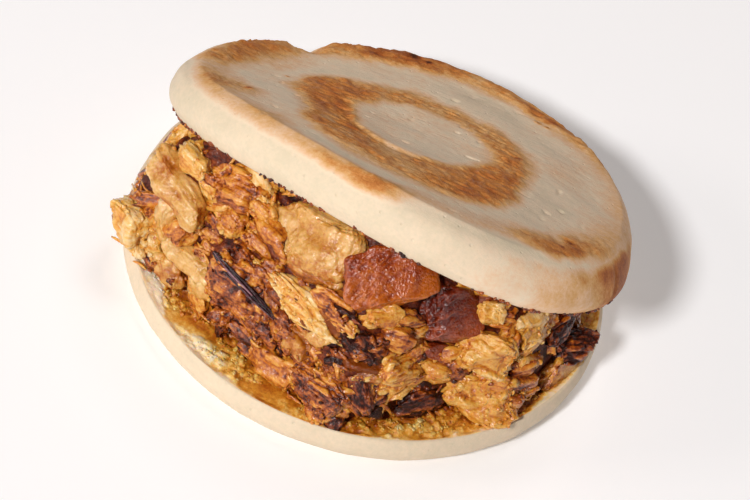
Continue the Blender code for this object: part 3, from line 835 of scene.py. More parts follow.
def dress(shaped, faces, size, seed, cut_of_meat):
    """Adds the relief of lean, flaky, fat or skin; returns points and a tone change."""
    normal = outward(shaped, faces)
    near = seed % 61
    thin = min(1.0, size[1] / 9.0 + 0.25)
    lumps = soft_noise(shaped, 3.4, near + 5)
    grit, grit_own = cells(shaped, 0.95, near + 20)
    beads = ease(0.0, 0.5, grit) * (0.5 + grit_own)
    if cut_of_meat in ("lean", "strand"):
        stretch, wide = ((0.3, 1, 1), 1.5) if cut_of_meat == "lean" else ((0.16, 1, 1), 1.25)
        wander = shaped + 0.7 * np.stack([lumps, soft_noise(shaped, 2.6, near + 6),
                                          soft_noise(shaped, 2.6, near + 7)], -1)
        border, own = cells(wander * np.array(stretch), wide, near)
        thread = ridged(shaped * np.array([0.18, 1, 1]), 0.8, near + 3)
        groove = 1.0 - ease(0.0, 0.34, border)
        lift = 0.55 * lumps + 0.6 * (own - 0.5) - 0.4 * groove + 0.12 * thread
        lift += (0.22 if cut_of_meat == "lean" else 0.06) * beads
        fray = 0.9 if cut_of_meat == "lean" else 1.8
        # Tone: lower in the grooves, for gravy that collects there and for painted shade.
        tone = 0.26 * (own - 0.5) - 0.22 * groove + 0.07 * thread
    elif cut_of_meat == "flaky":
        wander = shaped + 0.8 * np.stack([lumps, soft_noise(shaped, 2.2, near + 6),
                                          soft_noise(shaped, 2.2, near + 7)], -1)
        border, own = cells(wander * np.array([0.42, 1, 1]), 2.5, near)
        groove = 1.0 - ease(0.0, 0.26, border)
        thread = ridged(wander * np.array([0.25, 1, 1]), 1.1, near + 3)
        lift = 0.6 * lumps + 0.9 * (own - 0.5) - 0.35 * groove + 0.14 * thread + 0.14 * beads
        # Tone: lower in the grooves, for gravy there and for painted shade.
        fray, tone = 0.7, 0.24 * (own - 0.5) - 0.13 * groove + 0.06 * thread
    elif cut_of_meat == "slab":
        thread = ridged(shaped * np.array([0.14, 1, 1]), 1.3, near + 3)
        lift = 0.4 * lumps + 0.26 * thread + 0.16 * beads
        fray, tone = 0.5, 0.16 * thread + 0.1 * lumps - 0.18 * (1.0 - ease(-0.5, 0.4, lumps))
    elif cut_of_meat == "fat":
        border, own = cells(shaped, 3.0, near)
        round_top = ease(0.0, 0.7, border)
        lift = 0.4 * lumps + 0.55 * round_top + 0.3 * beads
        fray = 0.2
        tone = 0.25 * (round_top - 0.6) + 0.12 * lumps
        # Darker towards the piece's lower side: amber gravy there, and a painted shade under the slab.
        tone = tone - 0.2 * (1.0 - ease(-0.48, -0.2, shaped[:, 1] / size[1]))
    else:
        slant = np.array([[0.77, -0.64, 0.0], [0.64, 0.77, 0.0], [0.0, 0.0, 1.0]])
        bent = (shaped + 0.5 * lumps[:, None]) @ slant * np.array([0.45, 1.0, 1.0])
        folds = ridged(bent, 0.95, near + 9)
        left = ease(-0.3, 0.5, -shaped[:, 0] / size[0] + 0.2)
        lift = 0.26 * folds * left + 0.3 * lumps
        fray = 0.1
        tone = 0.12 * folds * left + 0.12 * (0.5 - left) + 0.05 * lumps
        tone = tone - 0.2 * ease(-0.35, 0.45, shaped[:, 1] / size[1]) + 0.08
    ends = ease(0.5, 1.0, np.abs(shaped[:, 0]) / (size[0] / 2))
    across = shaped * np.array([0.0, 1.0, 1.0]) + np.sign(shaped[:, :1]) * 9
    out = shaped + (thin * lift)[:, None] * normal
    out[:, 0] += np.sign(shaped[:, 0]) * ends * fray * (cells(across, 1.1, near)[1] * 2 - 1.1) * thin
    return out, tone


def lay(points, centre, normal, heading):
    """Turns a piece's own measures into its place on the slope."""
    across = Vector((math.cos(math.radians(heading)), math.sin(math.radians(heading)), 0.0))
    along = (across - normal * across.dot(normal)).normalized()
    side = normal.cross(along)
    return points @ np.array([along, side, normal]) + np.array(centre)


class Batch:
    """Many closed pieces gathered into one mesh."""

    def __init__(self):
        self.points, self.faces, self.grain, self.tone, self.count = [], [], [], [], 0

    def take(self, points, faces, grain, tone):
        self.faces.append(faces + self.count)
        self.points.append(points)
        self.grain.append(grain)
        self.tone.append(tone)
        self.count += len(points)

    def lay_torn(self, centre, normal, heading, size, seed, cut_of_meat, tone, parts):
        """Shapes, dresses and lays one torn piece."""
        shaped, faces = torn_shape(size, seed, parts)
        points, change = dress(shaped, faces, size, seed, cut_of_meat)
        self.take(lay(points, centre, normal, heading), faces, shaped, tone + change)

    def finish(self, name, stuff, slot, replaced=()):
        made = piece(name, np.vstack(self.points), np.vstack(self.faces).tolist(), [stuff],
                     {"grain": np.vstack(self.grain), "tone": np.concatenate(self.tone)})
        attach(made, "root")
        if replaced:
            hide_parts(*replaced)
        print(name, "faces:", len(made.data.polygons))
        return made


# %% [markdown]
# ## The large pieces
# These are the ones that a buyer would notice first: the slab of fat and the two glossy
# squares of skin under the lid, the dark lean chunk with its vein, the yellow strands.
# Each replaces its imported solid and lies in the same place.

# %% Lay the large pieces
# Each row: middle, heading, 0 along the slope to 1 level, size, seed, cut, tone.
CHUNKS = {
    "pork_slab_left": ((-38.8, -26.8, 29.4), -57, 0.0, (20.0, 8.8, 9.0), 3, "slab", 0.4),
    "pork_lobe_left": ((-45.8, -28.8, 16.4), -26, 0.0, (15.0, 12.0, 9.5), 7, "flaky", 0.8),
    "pork_tan_upper": ((-26.5, -27.0, 36.6), 8, 0.0, (15.0, 9.5, 7.5), 41, "flaky", 0.42),
    "pork_lean_dark": ((-17.5, -38.4, 21.5), -28, 0.0, (21.0, 18.0, 9.5), 12, "lean", 0.34),
    "pork_strands": ((-2.6, -40.8, 27.6), -29, 0.0, (24.0, 7.5, 8.0), 5, "strand", 0.8),
    "pork_fat": ((-5.4, -31.6, 39.0), 2, 0.0, (20.5, 15.0, 9.0), 21, "fat", 0.52),
    "pork_rind_large": ((11.8, -35.0, 39.2), 28, 0.0, (21.0, 14.5, 7.0), 9, "skin", 0.56),
    "pork_rind_small": ((25.2, -28.6, 32.0), 23, 0.0, (15.0, 13.0, 7.0), 14, "skin", 0.28),
    "pork_lean_front": ((18.8, -40.2, 21.0), 62, 0.0, (16.5, 10.0, 9.0), 17, "strand", 0.62),
    "pork_lump_front": ((7.4, -48.8, 13.3), -15, 0.1, (14.0, 11.0, 8.5), 37, "lean", 0.36),
    "pork_fat_right": ((34.0, -28.8, 24.0), -10, 0.0, (13.5, 11.5, 9.0), 26, "flaky", 0.66),
    "pork_wedge_right": ((37.6, -30.6, 13.4), 4, 0.2, (17.0, 10.0, 8.0), 31, "flaky", 0.6),
    "pork_pale_right": ((40.6, -18.8, 27.0), 56, 0.0, (15.0, 7.5, 6.5), 43, "flaky", 0.74),
    "pork_tip_right": ((49.6, -6.6, 14.6), 43, 0.75, (14.0, 8.0, 5.5), 33, "lean", 0.14),
}
STUFF_OF = {"flaky": LEAN, "slab": FAT, "lean": LEAN, "strand": LEAN, "fat": FAT, "skin": RIND}
SLOT_OF = {row["node"]: row["material_slot"] for row in frame["record"]["subparts"]}


LARGE_PARTS, SKIN_PARTS = 36, 52


def large_pieces():
    made = []
    for name, (centre, heading, level, size, seed, cut_of_meat, tone) in CHUNKS.items():
        normal = heap_normal(centre[0], centre[1]).lerp(Vector((0, 0, 1)), level).normalized()
        batch = Batch()
        batch.lay_torn(centre, normal, heading, size, seed, cut_of_meat, tone,
                       SKIN_PARTS if cut_of_meat == "skin" else LARGE_PARTS)
        made.append(batch.finish(name + "_dressed", STUFF_OF[cut_of_meat], SLOT_OF[name], [name]))
    return made


LARGE = large_pieces()

# %% [markdown]
# ## The heap
# Behind and between the large pieces lie hundreds of small ones. A core gives the heap
# its body: the imported heap's surface with coarse lumps and grain, dark with gravy and
# with painted shade, so that any gap shows deep wet meat. Over it lie the pieces that the
# imported heap has fused on, apart from those whose middles fall on a smooth slab, which
# stays bare as it is in the real heap. Between those come smaller scraps and threads.

# %% Core of the heap
CORE_DEPTH = 1.4


def heap_core():
    segments, floor = 300, BASE_HEIGHT + 0.1
    inward = np.concatenate([[1.6, 0.9], np.linspace(0.7, 26.0, 64), [30.0, 36.0]])
    bearing = bearings(segments)
    radius = np.maximum(heap_reach(bearing) - CORE_DEPTH - inward[:, None], 1.0)
    x, y = plan(radius, bearing)
    at = np.stack([x, y, np.zeros_like(x)], -1).reshape(-1, 3)
    height = heap_height(x, y, CORE_DEPTH)
    at[:, 2] = height.ravel()
    swirl = at + 2.0 * soft_noise(at, 7.0, 70)[:, None]
    lumps = 1.3 * soft_noise(swirl, 4.2, 71) + 0.9 * soft_noise(swirl, 2.0, 72)
    ridges = ridged(swirl * np.array([0.35, 1, 1]), 1.7, 73)
    lift = (lumps + 0.4 * ridges).reshape(x.shape)
    under = lid_underside(x, y) - 0.15
    height = np.minimum(height + 0.7 * lift, np.maximum(under, floor + 1.0))
    height[0], height[1] = floor, floor + 0.8
    height = np.maximum(height, floor)
    out = np.hypot(x, y)
    spread = out + 0.6 * lift * ease(0, 3, inward[:, None])
    x, y = x * spread / out, y * spread / out
    rings = np.stack([x, y, height], -1).reshape(-1, 3)
    points = np.vstack([[0, 0, floor], rings, rings[-segments:].mean(0)])
    faces = round_faces(len(inward), segments)
    # Tone: low everywhere and lower in the dips; partly gravy, partly painted shade for the gaps.
    tone = 0.16 + 0.10 * lumps + 0.1 * ridges
    tone = np.concatenate([[0.3], tone, [0.3]])
    # Thick gravy full of scraps, dark and rather matt; its dark colours are also painted shade, so that
    # the gaps look deep.
    gravy_and_gap_shade = braised_pork("gravy_and_painted_shade_between_pieces",
                         ((0.0, "#260700"), (0.2, "#541702"), (0.45, "#8A3A08"), (1.0, "#C8781E")),
                         shine=0.3, rough=0.6)
    made = piece("pork_core", points, faces, [gravy_and_gap_shade], {"grain": points, "tone": tone})
    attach(made, "root")
    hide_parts("pork_heap")
    return made


CORE = heap_core()
print("core points:", len(CORE.data.vertices))

# %% [markdown]
# The photograph shows drifts of colour in the heap: tan flaky meat at the left, dark
# lean with wet gaps in the middle, paler fat and lean at the right. Fifteen soft
# patches, each a place with its tone, colour the small scraps that fall near them.

# %% Patches of tone
# Each row: middle, reach, tone.
TONE_PATCHES = ((-38, -25, 33, 10, 0.66), (-46, -28, 17, 9, 0.6), (-30, -34, 18, 9, 0.56),
                (-18, -38, 22, 11, 0.36), (-24, -27, 36, 9, 0.7), (-13, -35, 35, 6, 0.45),
                (-20, -41, 12, 8, 0.42), (2, -46, 14, 9, 0.4), (9, -43, 27, 6, 0.14),
                (16, -36, 31, 6, 0.5), (30, -31, 21, 8, 0.5), (25, -38, 12, 7, 0.16),
                (38, -28, 15, 8, 0.55), (46, -14, 15, 8, 0.34), (44, -16, 27, 8, 0.62))


EVERYWHERE, MIDDLE_TONE = 0.12, 0.45


def tone_at(place):
    weight, total = EVERYWHERE, EVERYWHERE * MIDDLE_TONE
    for x, y, z, reach, tone in TONE_PATCHES:
        apart = (place[0] - x) ** 2 + (place[1] - y) ** 2 + (place[2] - z) ** 2
        near = math.exp(-apart / reach ** 2)
        weight += near
        total += near * tone
    return total / weight


# %% Lay the chopped pieces
# Middle and reach of each piece that stays bare.
SMOOTH = ((-5.4, -31.6, 39.0, 10.0), (11.8, -35.0, 39.2, 10.5), (25.2, -28.6, 32.0, 8.0),
          (-38.8, -26.8, 29.4, 7.5), (49.6, -6.6, 14.6, 6.5), (-17.5, -38.4, 21.5, 6.5))


def on_smooth(place):
    """True over the slabs of fat, the skin and the clean-cut lean pieces."""
    return any((Vector(place) - Vector(row[:3])).length < row[3] for row in SMOOTH)


# Steps of a sequence that spreads places evenly, one for each direction.
ONE_STEP, OTHER_STEP = 0.7549, 0.5698
CHOPPED_COUNT, CHOPPED_PARTS, GAP_PARTS = 96, 12, 7


def front_bearing(turn, crowding):
    """A bearing from a turn's part; bearings crowd towards the open mouth."""
    away = 2.0 * (turn % 1.0) - 1.0
    return 270.0 + 180.0 * math.copysign(abs(away) ** crowding, away)


def chopped_pieces():
    """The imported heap's pieces, each with its own cut, but none on a smooth slab."""
    dice = random.Random(11)
    lean, soft = Batch(), Batch()
    count = tried = bare = 0
    while count < CHOPPED_COUNT:
        tried += 1
        bearing = front_bearing(tried * ONE_STEP, 1.3)
        x, y, height, room = on_slope(bearing, 0.8, 0.9 * (tried * OTHER_STEP % 1.0))
        if room < 1.5:
            continue
        length = dice.uniform(7.5, 13.5)
        size = (length, length * dice.uniform(0.42, 0.66), dice.uniform(3.8, 5.6))
        normal = leaning(x, y, dice, 0.25)
        centre = Vector((x, y, max(height, BASE_HEIGHT + 1.5))) - normal * dice.uniform(0.4, 1.4)
        heading, seed = dice.uniform(0, 180), dice.randrange(9999)
        other = random.Random(seed + 5)
        cut_of_meat = other.choice(("lean", "flaky", "strand", "flaky", "fat"))
        count += 1
        if on_smooth(centre):
            bare += 1
            continue
        batch = soft if cut_of_meat == "fat" else lean
        batch.lay_torn(centre, normal, heading, size, seed, cut_of_meat,
                       tone_at(centre) + other.uniform(-0.2, 0.18), CHOPPED_PARTS)
    print("chopped pieces laid:", count - bare, "kept off the smooth slabs:", bare)
    return (lean.finish("chopped_lean", LEAN, "chopped_pork"),
            soft.finish("chopped_fat", FAT, "chopped_pork"))


CHOPPED = chopped_pieces()

# %% [markdown]
# Between those, smaller bits fill the gaps. In front the wet core only shows as dark
# seams; at the sides and the back, which the photograph doesn't show, more of it is seen.

# %% Fill the gaps
def gap_pieces(count=310):
    """Small scraps on evenly spread places, but none on a smooth slab."""
    dice = random.Random(23)
    batch, tried, bare = Batch(), 0, 0
    while count:
        tried += 1
        bearing = front_bearing(tried * OTHER_STEP, 1.25)
        x, y, height, room = on_slope(bearing, 0.6, 0.92 * (tried * ONE_STEP % 1.0))
        if room < 0.8:
            continue
        count -= 1
        normal = leaning(x, y, dice, 0.3)
        centre = Vector((x, y, max(height, BASE_HEIGHT + 0.8))) - normal * dice.uniform(0.2, 1.3)
        length = dice.uniform(3.2, 7.5)
        size = (length, length * dice.uniform(0.45, 0.8), dice.uniform(2.4, 3.6))
        heading, seed = dice.uniform(0, 180), dice.randrange(9999)
        cut_of_meat = dice.choice(("flaky", "flaky", "lean", "strand"))
        if on_smooth(centre):
            bare += 1
            continue
        batch.lay_torn(centre, normal, heading, size, seed, cut_of_meat,
                       tone_at(centre) + dice.uniform(-0.24, 0.12), GAP_PARTS)
    print("scraps kept off the smooth slabs:", bare)
    return batch.finish("gap_pieces", LEAN, "chopped_pork")


GAPS = gap_pieces()

# %% [markdown]
# ## Small pieces seen in front
# Thirty middling pieces in the open mouth are each recognisable: yellow strands on
# the dark chunk's shoulder, a square of tan at the top, the dark one under the skin. A
# table gives each its middle, its length, width and heading, its cut and its tone.

# %% Lay the pieces seen in front
# Each row: middle, length, width, heading, cut of meat, tone.
SEEN = (((-44.3, -15.5, 32.5), 10.0, 7.6, 15, "flaky", 0.62),
        ((-37.8, -24.1, 36.7), 9.6, 6.6, -25, "flaky", 0.72),
        ((-34.1, -26.0, 35.6), 6.5, 3.6, -19, "lean", 0.42),
        ((-42.5, -30.5, 16.8), 6.0, 5.0, -32, "flaky", 0.7),
        ((-29.9, -34.1, 18.4), 17.6, 6.2, -15, "fat", 0.6),
        ((-22.0, -27.9, 37.8), 7.8, 4.9, -16, "flaky", 0.8),
        ((-20.1, -29.3, 37.2), 9.0, 5.7, -23, "flaky", 0.6),
        ((-9.2, -42.4, 18.6), 6.5, 6.0, -12, "lean", 0.3),
        ((-11.3, -37.8, 28.5), 13.4, 3.3, -32, "strand", 0.68),
        ((-5.9, -38.8, 29.4), 8.9, 3.7, -18, "strand", 0.7),
        ((4.6, -41.8, 30.5), 10.4, 3.9, -32, "strand", 0.66),
        ((-4.1, -36.4, 34.4), 13.0, 5.0, -10, "fat", 0.3),
        ((13.1, -39.3, 33.8), 9.3, 6.2, 36, "flaky", 0.62),
        ((14.3, -42.2, 27.2), 9.8, 4.9, 43, "lean", 0.3),
        ((10.1, -44.3, 27.2), 8.6, 5.7, -13, "lean", 0.16),
        ((20.8, -41.1, 16.1), 10.0, 4.6, 53, "strand", 0.7),
        ((25.0, -33.3, 24.1), 6.0, 4.3, -1, "skin", 0.4),
        ((28.8, -32.4, 19.8), 8.5, 7.6, 45, "lean", 0.34),
        ((38.4, -28.7, 18.2), 9.6, 7.3, 6, "flaky", 0.6),
        ((25.8, -37.6, 12.3), 12.0, 8.0, 46, "lean", 0.1),
        ((-2.0, -43.5, 20.1), 9.2, 6.3, 6, "fat", 0.2),
        ((-4.6, -45.5, 12.1), 13.5, 7.5, -13, "flaky", 0.5),
        ((11.5, -50.0, 9.7), 6.0, 5.0, 12, "lean", 0.2),
        ((49.6, -9.2, 10.5), 17.6, 9.7, 68, "flaky", 0.5),
        ((-35.2, -31.8, 22.6), 7.5, 5.5, 60, "flaky", 0.42),
        ((-35.0, -34.0, 12.6), 9.0, 6.0, -20, "fat", 0.42),
        ((-24.7, -31.6, 32.2), 7.0, 5.0, -20, "flaky", 0.5),
        ((17.3, -36.2, 32.8), 7.5, 4.8, 30, "strand", 0.46),
        ((32.2, -25.6, 33.4), 6.5, 5.6, 10, "flaky", 0.78),
        ((46.2, -9.6, 21.4), 9.0, 5.4, 60, "lean", 0.16))


SEEN_PARTS, SEEN_SEED, SEEN_THICKNESS = 18, 300, 5.2


def seen_pieces():
    batches = {"lean": Batch(), "fat": Batch(), "skin": Batch()}
    for index, (centre, length, width, heading, cut_of_meat, tone) in enumerate(SEEN):
        size = (length, width, min(width, SEEN_THICKNESS))
        batch = batches.get(cut_of_meat, batches["lean"])
        batch.lay_torn(centre, heap_normal(centre[0], centre[1]), heading, size,
                       SEEN_SEED + index, cut_of_meat, tone, SEEN_PARTS)
    return [batches[kind].finish("seen_" + kind, stuff, "chopped_pork")
            for kind, stuff in (("lean", LEAN), ("fat", FAT), ("skin", RIND))]


SEEN_PIECES = seen_pieces()

# %% [markdown]
# ## Threads
# Pulled muscle leaves single bundles of fibre, under a millimetre thick, that lie bent
# over the pieces. Each thread here is a thin bent rod with blunt ends. It follows the
# heap's own slope, so only a few at the far left stand a little proud of it.

# %% Lay the threads
def rod(length, thick, bend, dice):
    """A bent six-sided rod along x with blunt ends."""
    steps, sides = 7, 6
    points = []
    for i in range(steps):
        along = (i / (steps - 1) - 0.5) * length
        wide = thick * (0.5 if i in (0, steps - 1) else dice.uniform(0.85, 1.15)) / 2
        for k in range(sides):
            angle = 2 * math.pi * k / sides
            points.append((along, wide * math.cos(angle) + bend * along * along,
                           0.8 * wide * math.sin(angle) - 0.35 * abs(bend) * along * along))
    return np.array(points), tube_faces(steps, sides)


def threads(count=190):
    dice = random.Random(77)
    batch = Batch()
    while count:
        bearing, risen = dice.uniform(0, 360), 0.93 * dice.random() ** 0.9
        if abs(float(turned(bearing, 270))) > 75 and dice.random() < 0.4:
            continue
        x, y, height, room = on_slope(bearing, -0.4, risen)
        if room < 1.2 or on_smooth((x, y, height)):
            continue
        length = dice.uniform(2.5, 7.0)
        normal = leaning(x, y, dice, 0.2)
        centre = Vector((x, y, max(height, BASE_HEIGHT + 0.3))) + normal * dice.uniform(0.0, 0.9)
        points, faces = rod(length, dice.uniform(0.45, 1.0), dice.uniform(-0.09, 0.09), dice)
        batch.take(lay(points, centre, normal, dice.gauss(-20, 45)), faces, points,
                   np.full(len(points), tone_at(centre) + dice.uniform(-0.1, 0.2)))
        count -= 1
    return batch.finish("pork_threads", LEAN, "chopped_pork")


THREADS = threads()

# %% [markdown]
# ## Crumbs
# The cleaver also makes crumbs of meat and fat, half a millimetre to one and a half
# across. They are far too many to place one by one, so Geometry Nodes scatter them:
# points on a surface, a small lump of 24 faces at each point, a random turn and size,
# then real mesh. One kind of tree serves three times: for crumbs of meat over the pork,
# for dark bits along the lid's lower edge, which are meat and also painted shade under
# that edge, and for flattened lumps of soaked crumb on the cut face. Each surface is a
# copy of pieces made so far. Its mark "scatter" says how thickly the crumbs lie, and on
# the pork it keeps them off the smooth slabs. The tree's sizes are named inputs on its
# modifier.

# %% Surfaces that the crumbs lie on
def read_points(source, mark):
    mesh = source.data
    at, values = np.empty(len(mesh.vertices) * 3), np.empty(len(mesh.vertices))
    mesh.vertices.foreach_get("co", at)
    mesh.attributes[mark].data.foreach_get("value", values)
    return at.reshape(-1, 3) / MM, values


def crumb_ground():
    """One mesh of all pork and the soaked cut face, marked where crumbs may lie."""
    points, faces, tone, scatter, start = [], [], [], [], 0
    for source in LARGE + [CORE, BASE, GAPS] + list(CHOPPED) + SEEN_PIECES:
        at, mark = read_points(source, "soak" if source is BASE else "tone")
        bare = np.zeros(len(at), bool)
        for row in SMOOTH:
            bare |= np.linalg.norm(at - np.array(row[:3]), axis=1) < row[3] + 1.0
        wanted = ease(0.1, 0.6, soft_noise(at, 6.0, 90) + 0.25)
        if source is BASE:
            reach = np.hypot(at[:, 0], at[:, 1])
            wanted = 0.8 * wanted * (1.0 - ease(0.5, 5.0, past_foot(at[:, 0], at[:, 1])))
            wanted = wanted * (reach < 51.5)
            mark = 0.4 * np.ones(len(at))
        under = lid_underside(at[:, 0], at[:, 1]) - at[:, 2]
        wanted = np.where(bare | (under < 1.0) | (at[:, 2] < BASE_HEIGHT - 1.2), 0.0, wanted)
        points.append(at)
        tone.append(mark)
        scatter.append(wanted)
        faces += [tuple(start + v for v in face.vertices) for face in source.data.polygons]
        start += len(at)
    return piece("crumb_ground", np.vstack(points), faces, [],
                 {"tone": np.concatenate(tone), "scatter": np.concatenate(scatter)})


# Very dark: crumbs of meat, and painted shade under the lid's edge.
EDGE_CRUMB_AND_SHADE_TONE = 0.14


def lid_edge_ground():
    """The lid, marked along the lowest edge of its side in front, where meat sticks and its very dark
    crumbs paint the shade under the edge.
    """
    at, _ = read_points(LID, "browning_and_shade")
    facing = np.empty(len(at) * 3)
    LID.data.vertices.foreach_get("normal", facing)
    down = facing.reshape(-1, 3)[:, 2]
    clumps = ease(-0.35, 0.25, soft_noise(at, 3.2, 91))
    wanted = hump(down, -0.76, 0.14) * (at[:, 1] < -5.0) * clumps
    faces = [tuple(face.vertices) for face in LID.data.polygons]
    return piece("lid_edge_ground", at, faces, [],
                 {"tone": np.full(len(at), EDGE_CRUMB_AND_SHADE_TONE), "scatter": wanted})


def cut_face_ground():
    """The open ring of the lower half's cut face, marked by how soaked it is."""
    at, soak = read_points(BASE, "soak")
    reach = np.hypot(at[:, 0], at[:, 1])
    wanted = ease(-3.0, 0.0, past_foot(at[:, 0], at[:, 1]))
    wanted = wanted * (1.0 - ease(51.2, 52.6, reach)) * (at[:, 2] > BASE_HEIGHT - 1.5)
    wanted *= ease(-0.5, 0.1, soft_noise(at, 5.5, 63) + 0.3 * soft_noise(at, 2.2, 64))
    faces = [tuple(face.vertices) for face in BASE.data.polygons]
    return piece("cut_face_ground", at, faces, [], {"soak": soak, "scatter": wanted})


# %% Tree that scatters the crumbs
FULL_TURN, SLIGHT_TURN = 6.28, 0.3


def crumb_tree(stuff, mark, flat, change_by):
    """The scatter: flat is a crumb's height over its width, change_by varies its mark."""
    tree = bpy.data.node_groups.new("scatter_" + mark, "GeometryNodeTree")
    face = tree.interface
    face.new_socket("Surface", in_out="INPUT", socket_type="NodeSocketGeometry")
    for label in ("Crumbs per square metre", "Smallest", "Largest"):
        face.new_socket(label, in_out="INPUT", socket_type="NodeSocketFloat")
    face.new_socket("Seed", in_out="INPUT", socket_type="NodeSocketInt")
    face.new_socket("Crumbs", in_out="OUTPUT", socket_type="NodeSocketGeometry")
    given = add(tree, "NodeGroupInput").outputs
    scatter = add(tree, "GeometryNodeInputNamedAttribute", {"Name": "scatter"}, data_type="FLOAT")
    density = add(tree, "ShaderNodeMath", {0: given["Crumbs per square metre"],
                                           1: scatter.outputs[0]}, operation="MULTIPLY")
    spots = add(tree, "GeometryNodeDistributePointsOnFaces",
                {"Mesh": given["Surface"], "Density": density.outputs[0], "Seed": given["Seed"]})
    change = add(tree, "FunctionNodeRandomValue", {"Seed": 5}, data_type="FLOAT")
    for socket in change.inputs:
        if socket.type == "VALUE" and socket.name in ("Min", "Max"):
            socket.default_value = change_by[socket.name == "Max"]
    old_tone = add(tree, "GeometryNodeInputNamedAttribute", {"Name": mark}, data_type="FLOAT")
    number = next(o for o in change.outputs if o.type == "VALUE" and o.enabled)
    tone = add(tree, "ShaderNodeMath", {0: old_tone.outputs[0], 1: number}, operation="ADD")
    toned = add(tree, "GeometryNodeStoreNamedAttribute",
                {"Geometry": spots.outputs["Points"], "Name": mark, "Value": tone.outputs[0]},
                data_type="FLOAT", domain="POINT")
    lump = add(tree, "GeometryNodeMeshCube", {"Size": (2, 2, 2), "Vertices X": 3, "Vertices Y": 3,
                                              "Vertices Z": 3})
    place = add(tree, "GeometryNodeInputPosition")
    length = add(tree, "ShaderNodeVectorMath", {0: place.outputs[0]}, operation="NORMALIZE")
    wobble = add(tree, "ShaderNodeTexNoise", {"Vector": place.outputs[0], "Scale": 0.9, "Detail": 0.0})
    uneven = add(tree, "ShaderNodeMapRange", {"Value": wobble.outputs["Fac"], "From Min": 0.3,
                                              "From Max": 0.7, "To Min": 0.55, "To Max": 1.25})
    rounded = add(tree, "ShaderNodeVectorMath", {0: length.outputs[0], "Scale": uneven.outputs[0]},
                  operation="SCALE")
    shaped = add(tree, "GeometryNodeSetPosition", {"Geometry": lump.outputs["Mesh"],
                                                   "Position": rounded.outputs[0]})
    tip = FULL_TURN if flat == 1.0 else SLIGHT_TURN
    turn = add(tree, "FunctionNodeRandomValue", {"Max": (tip, tip, FULL_TURN), "Seed": 7},
               data_type="FLOAT_VECTOR")
    size = add(tree, "FunctionNodeRandomValue", {"Seed": 9}, data_type="FLOAT_VECTOR")
    for limit, label in (("Min", "Smallest"), ("Max", "Largest")):
        height = add(tree, "ShaderNodeMath", {0: given[label], 1: flat}, operation="MULTIPLY")
        scale = add(tree, "ShaderNodeCombineXYZ", {"X": given[label], "Y": given[label],
                                                   "Z": height.outputs[0]})
        feed(tree, size, {limit: scale.outputs[0]})
    laid = add(tree, "GeometryNodeInstanceOnPoints",
               {"Points": toned.outputs[0], "Instance": shaped.outputs[0],
                "Rotation": turn.outputs[0], "Scale": size.outputs[0]})
    real = add(tree, "GeometryNodeRealizeInstances", {"Geometry": laid.outputs[0]})
    where = add(tree, "GeometryNodeInputPosition")
    grain = add(tree, "ShaderNodeVectorMath", {0: where.outputs[0], "Scale": 1 / MM}, operation="SCALE")
    marked = add(tree, "GeometryNodeStoreNamedAttribute",
                 {"Geometry": real.outputs[0], "Name": "grain", "Value": grain.outputs[0]},
                 data_type="FLOAT_VECTOR", domain="POINT")
    soft = add(tree, "GeometryNodeSetShadeSmooth", {"Geometry": marked.outputs[0]})
    dressed = add(tree, "GeometryNodeSetMaterial", {"Geometry": soft.outputs[0], "Material": stuff})
    add(tree, "NodeGroupOutput", {"Crumbs": dressed.outputs[0]})
    return tree


# %% Scatter the crumbs
def scattered(name, ground, tree, wanted):
    """Runs the tree on the ground and keeps the result as a plain mesh."""
    modifier = ground.modifiers.new("crumbs", "NODES")
    modifier.node_group = tree
    for socket in tree.interface.items_tree:
        if socket.in_out == "INPUT" and socket.name in wanted:
            modifier[socket.identifier] = wanted[socket.name]
    seen = ground.evaluated_get(bpy.context.evaluated_depsgraph_get())
    mesh = bpy.data.meshes.new_from_object(seen)
    bpy.data.objects.remove(ground)
    made = bpy.data.objects.new(name, mesh)
    bpy.context.scene.collection.objects.link(made)
    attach(made, "root")
    marks = [mark for mark in ("tone", "soak", "grain") if mark in mesh.attributes]
    print(name, "faces:", len(mesh.polygons), "marks:", marks)
    return made


CRUMBS = scattered("pork_crumbs", crumb_ground(), crumb_tree(LEAN, "tone", 1.0, (-0.15, 0.2)),
                   {"Crumbs per square metre": 150000.0, "Smallest": 0.25 * MM, "Largest": 0.8 * MM,
                    "Seed": 4})
LID_EDGE_CRUMBS_AND_SHADE = scattered("lid_edge_crumbs_and_shade", lid_edge_ground(), crumb_tree(LEAN, "tone", 1.0, (-0.12, 0.16)),
                 {"Crumbs per square metre": 3000000.0, "Smallest": 0.2 * MM, "Largest": 0.8 * MM,
                  "Seed": 6})
LUMPS = scattered("crumb_lumps", cut_face_ground(), crumb_tree(CRUMB, "soak", 0.5, (-0.18, 0.06)),
                  {"Crumbs per square metre": 800000.0, "Smallest": 0.16 * MM, "Largest": 0.62 * MM,
                   "Seed": 8})

# %% [markdown]
# ## Dark vein
# A cord of connective tissue runs down the dark chunk. Braising turns it purple-black
# and very glossy, so it gets a finish of its own colour. It lies pulled flat and half
# split into fibres, so it is made of seven thin tapered cords side by side. The palest
# cords are painted highlights, the streaks of gleam along the wet sinew.

# %% Lay the vein
VEIN_PATH = ((-25.6, -38.2, 28.2), (-23.0, -39.4, 27.7), (-20.1, -40.6, 27.2), (-17.1, -41.3, 26.2),
             (-13.8, -41.8, 24.6), (-10.6, -42.4, 23.4), (-8.0, -43.4, 22.8))


# Each cord's tone: the low ones purple-black, the palest (0.8) a painted highlight.
CORD_TONES_AND_GLINTS = (0.1, 0.4, 0.05, 0.8, 0.15, 0.5, 0.1)


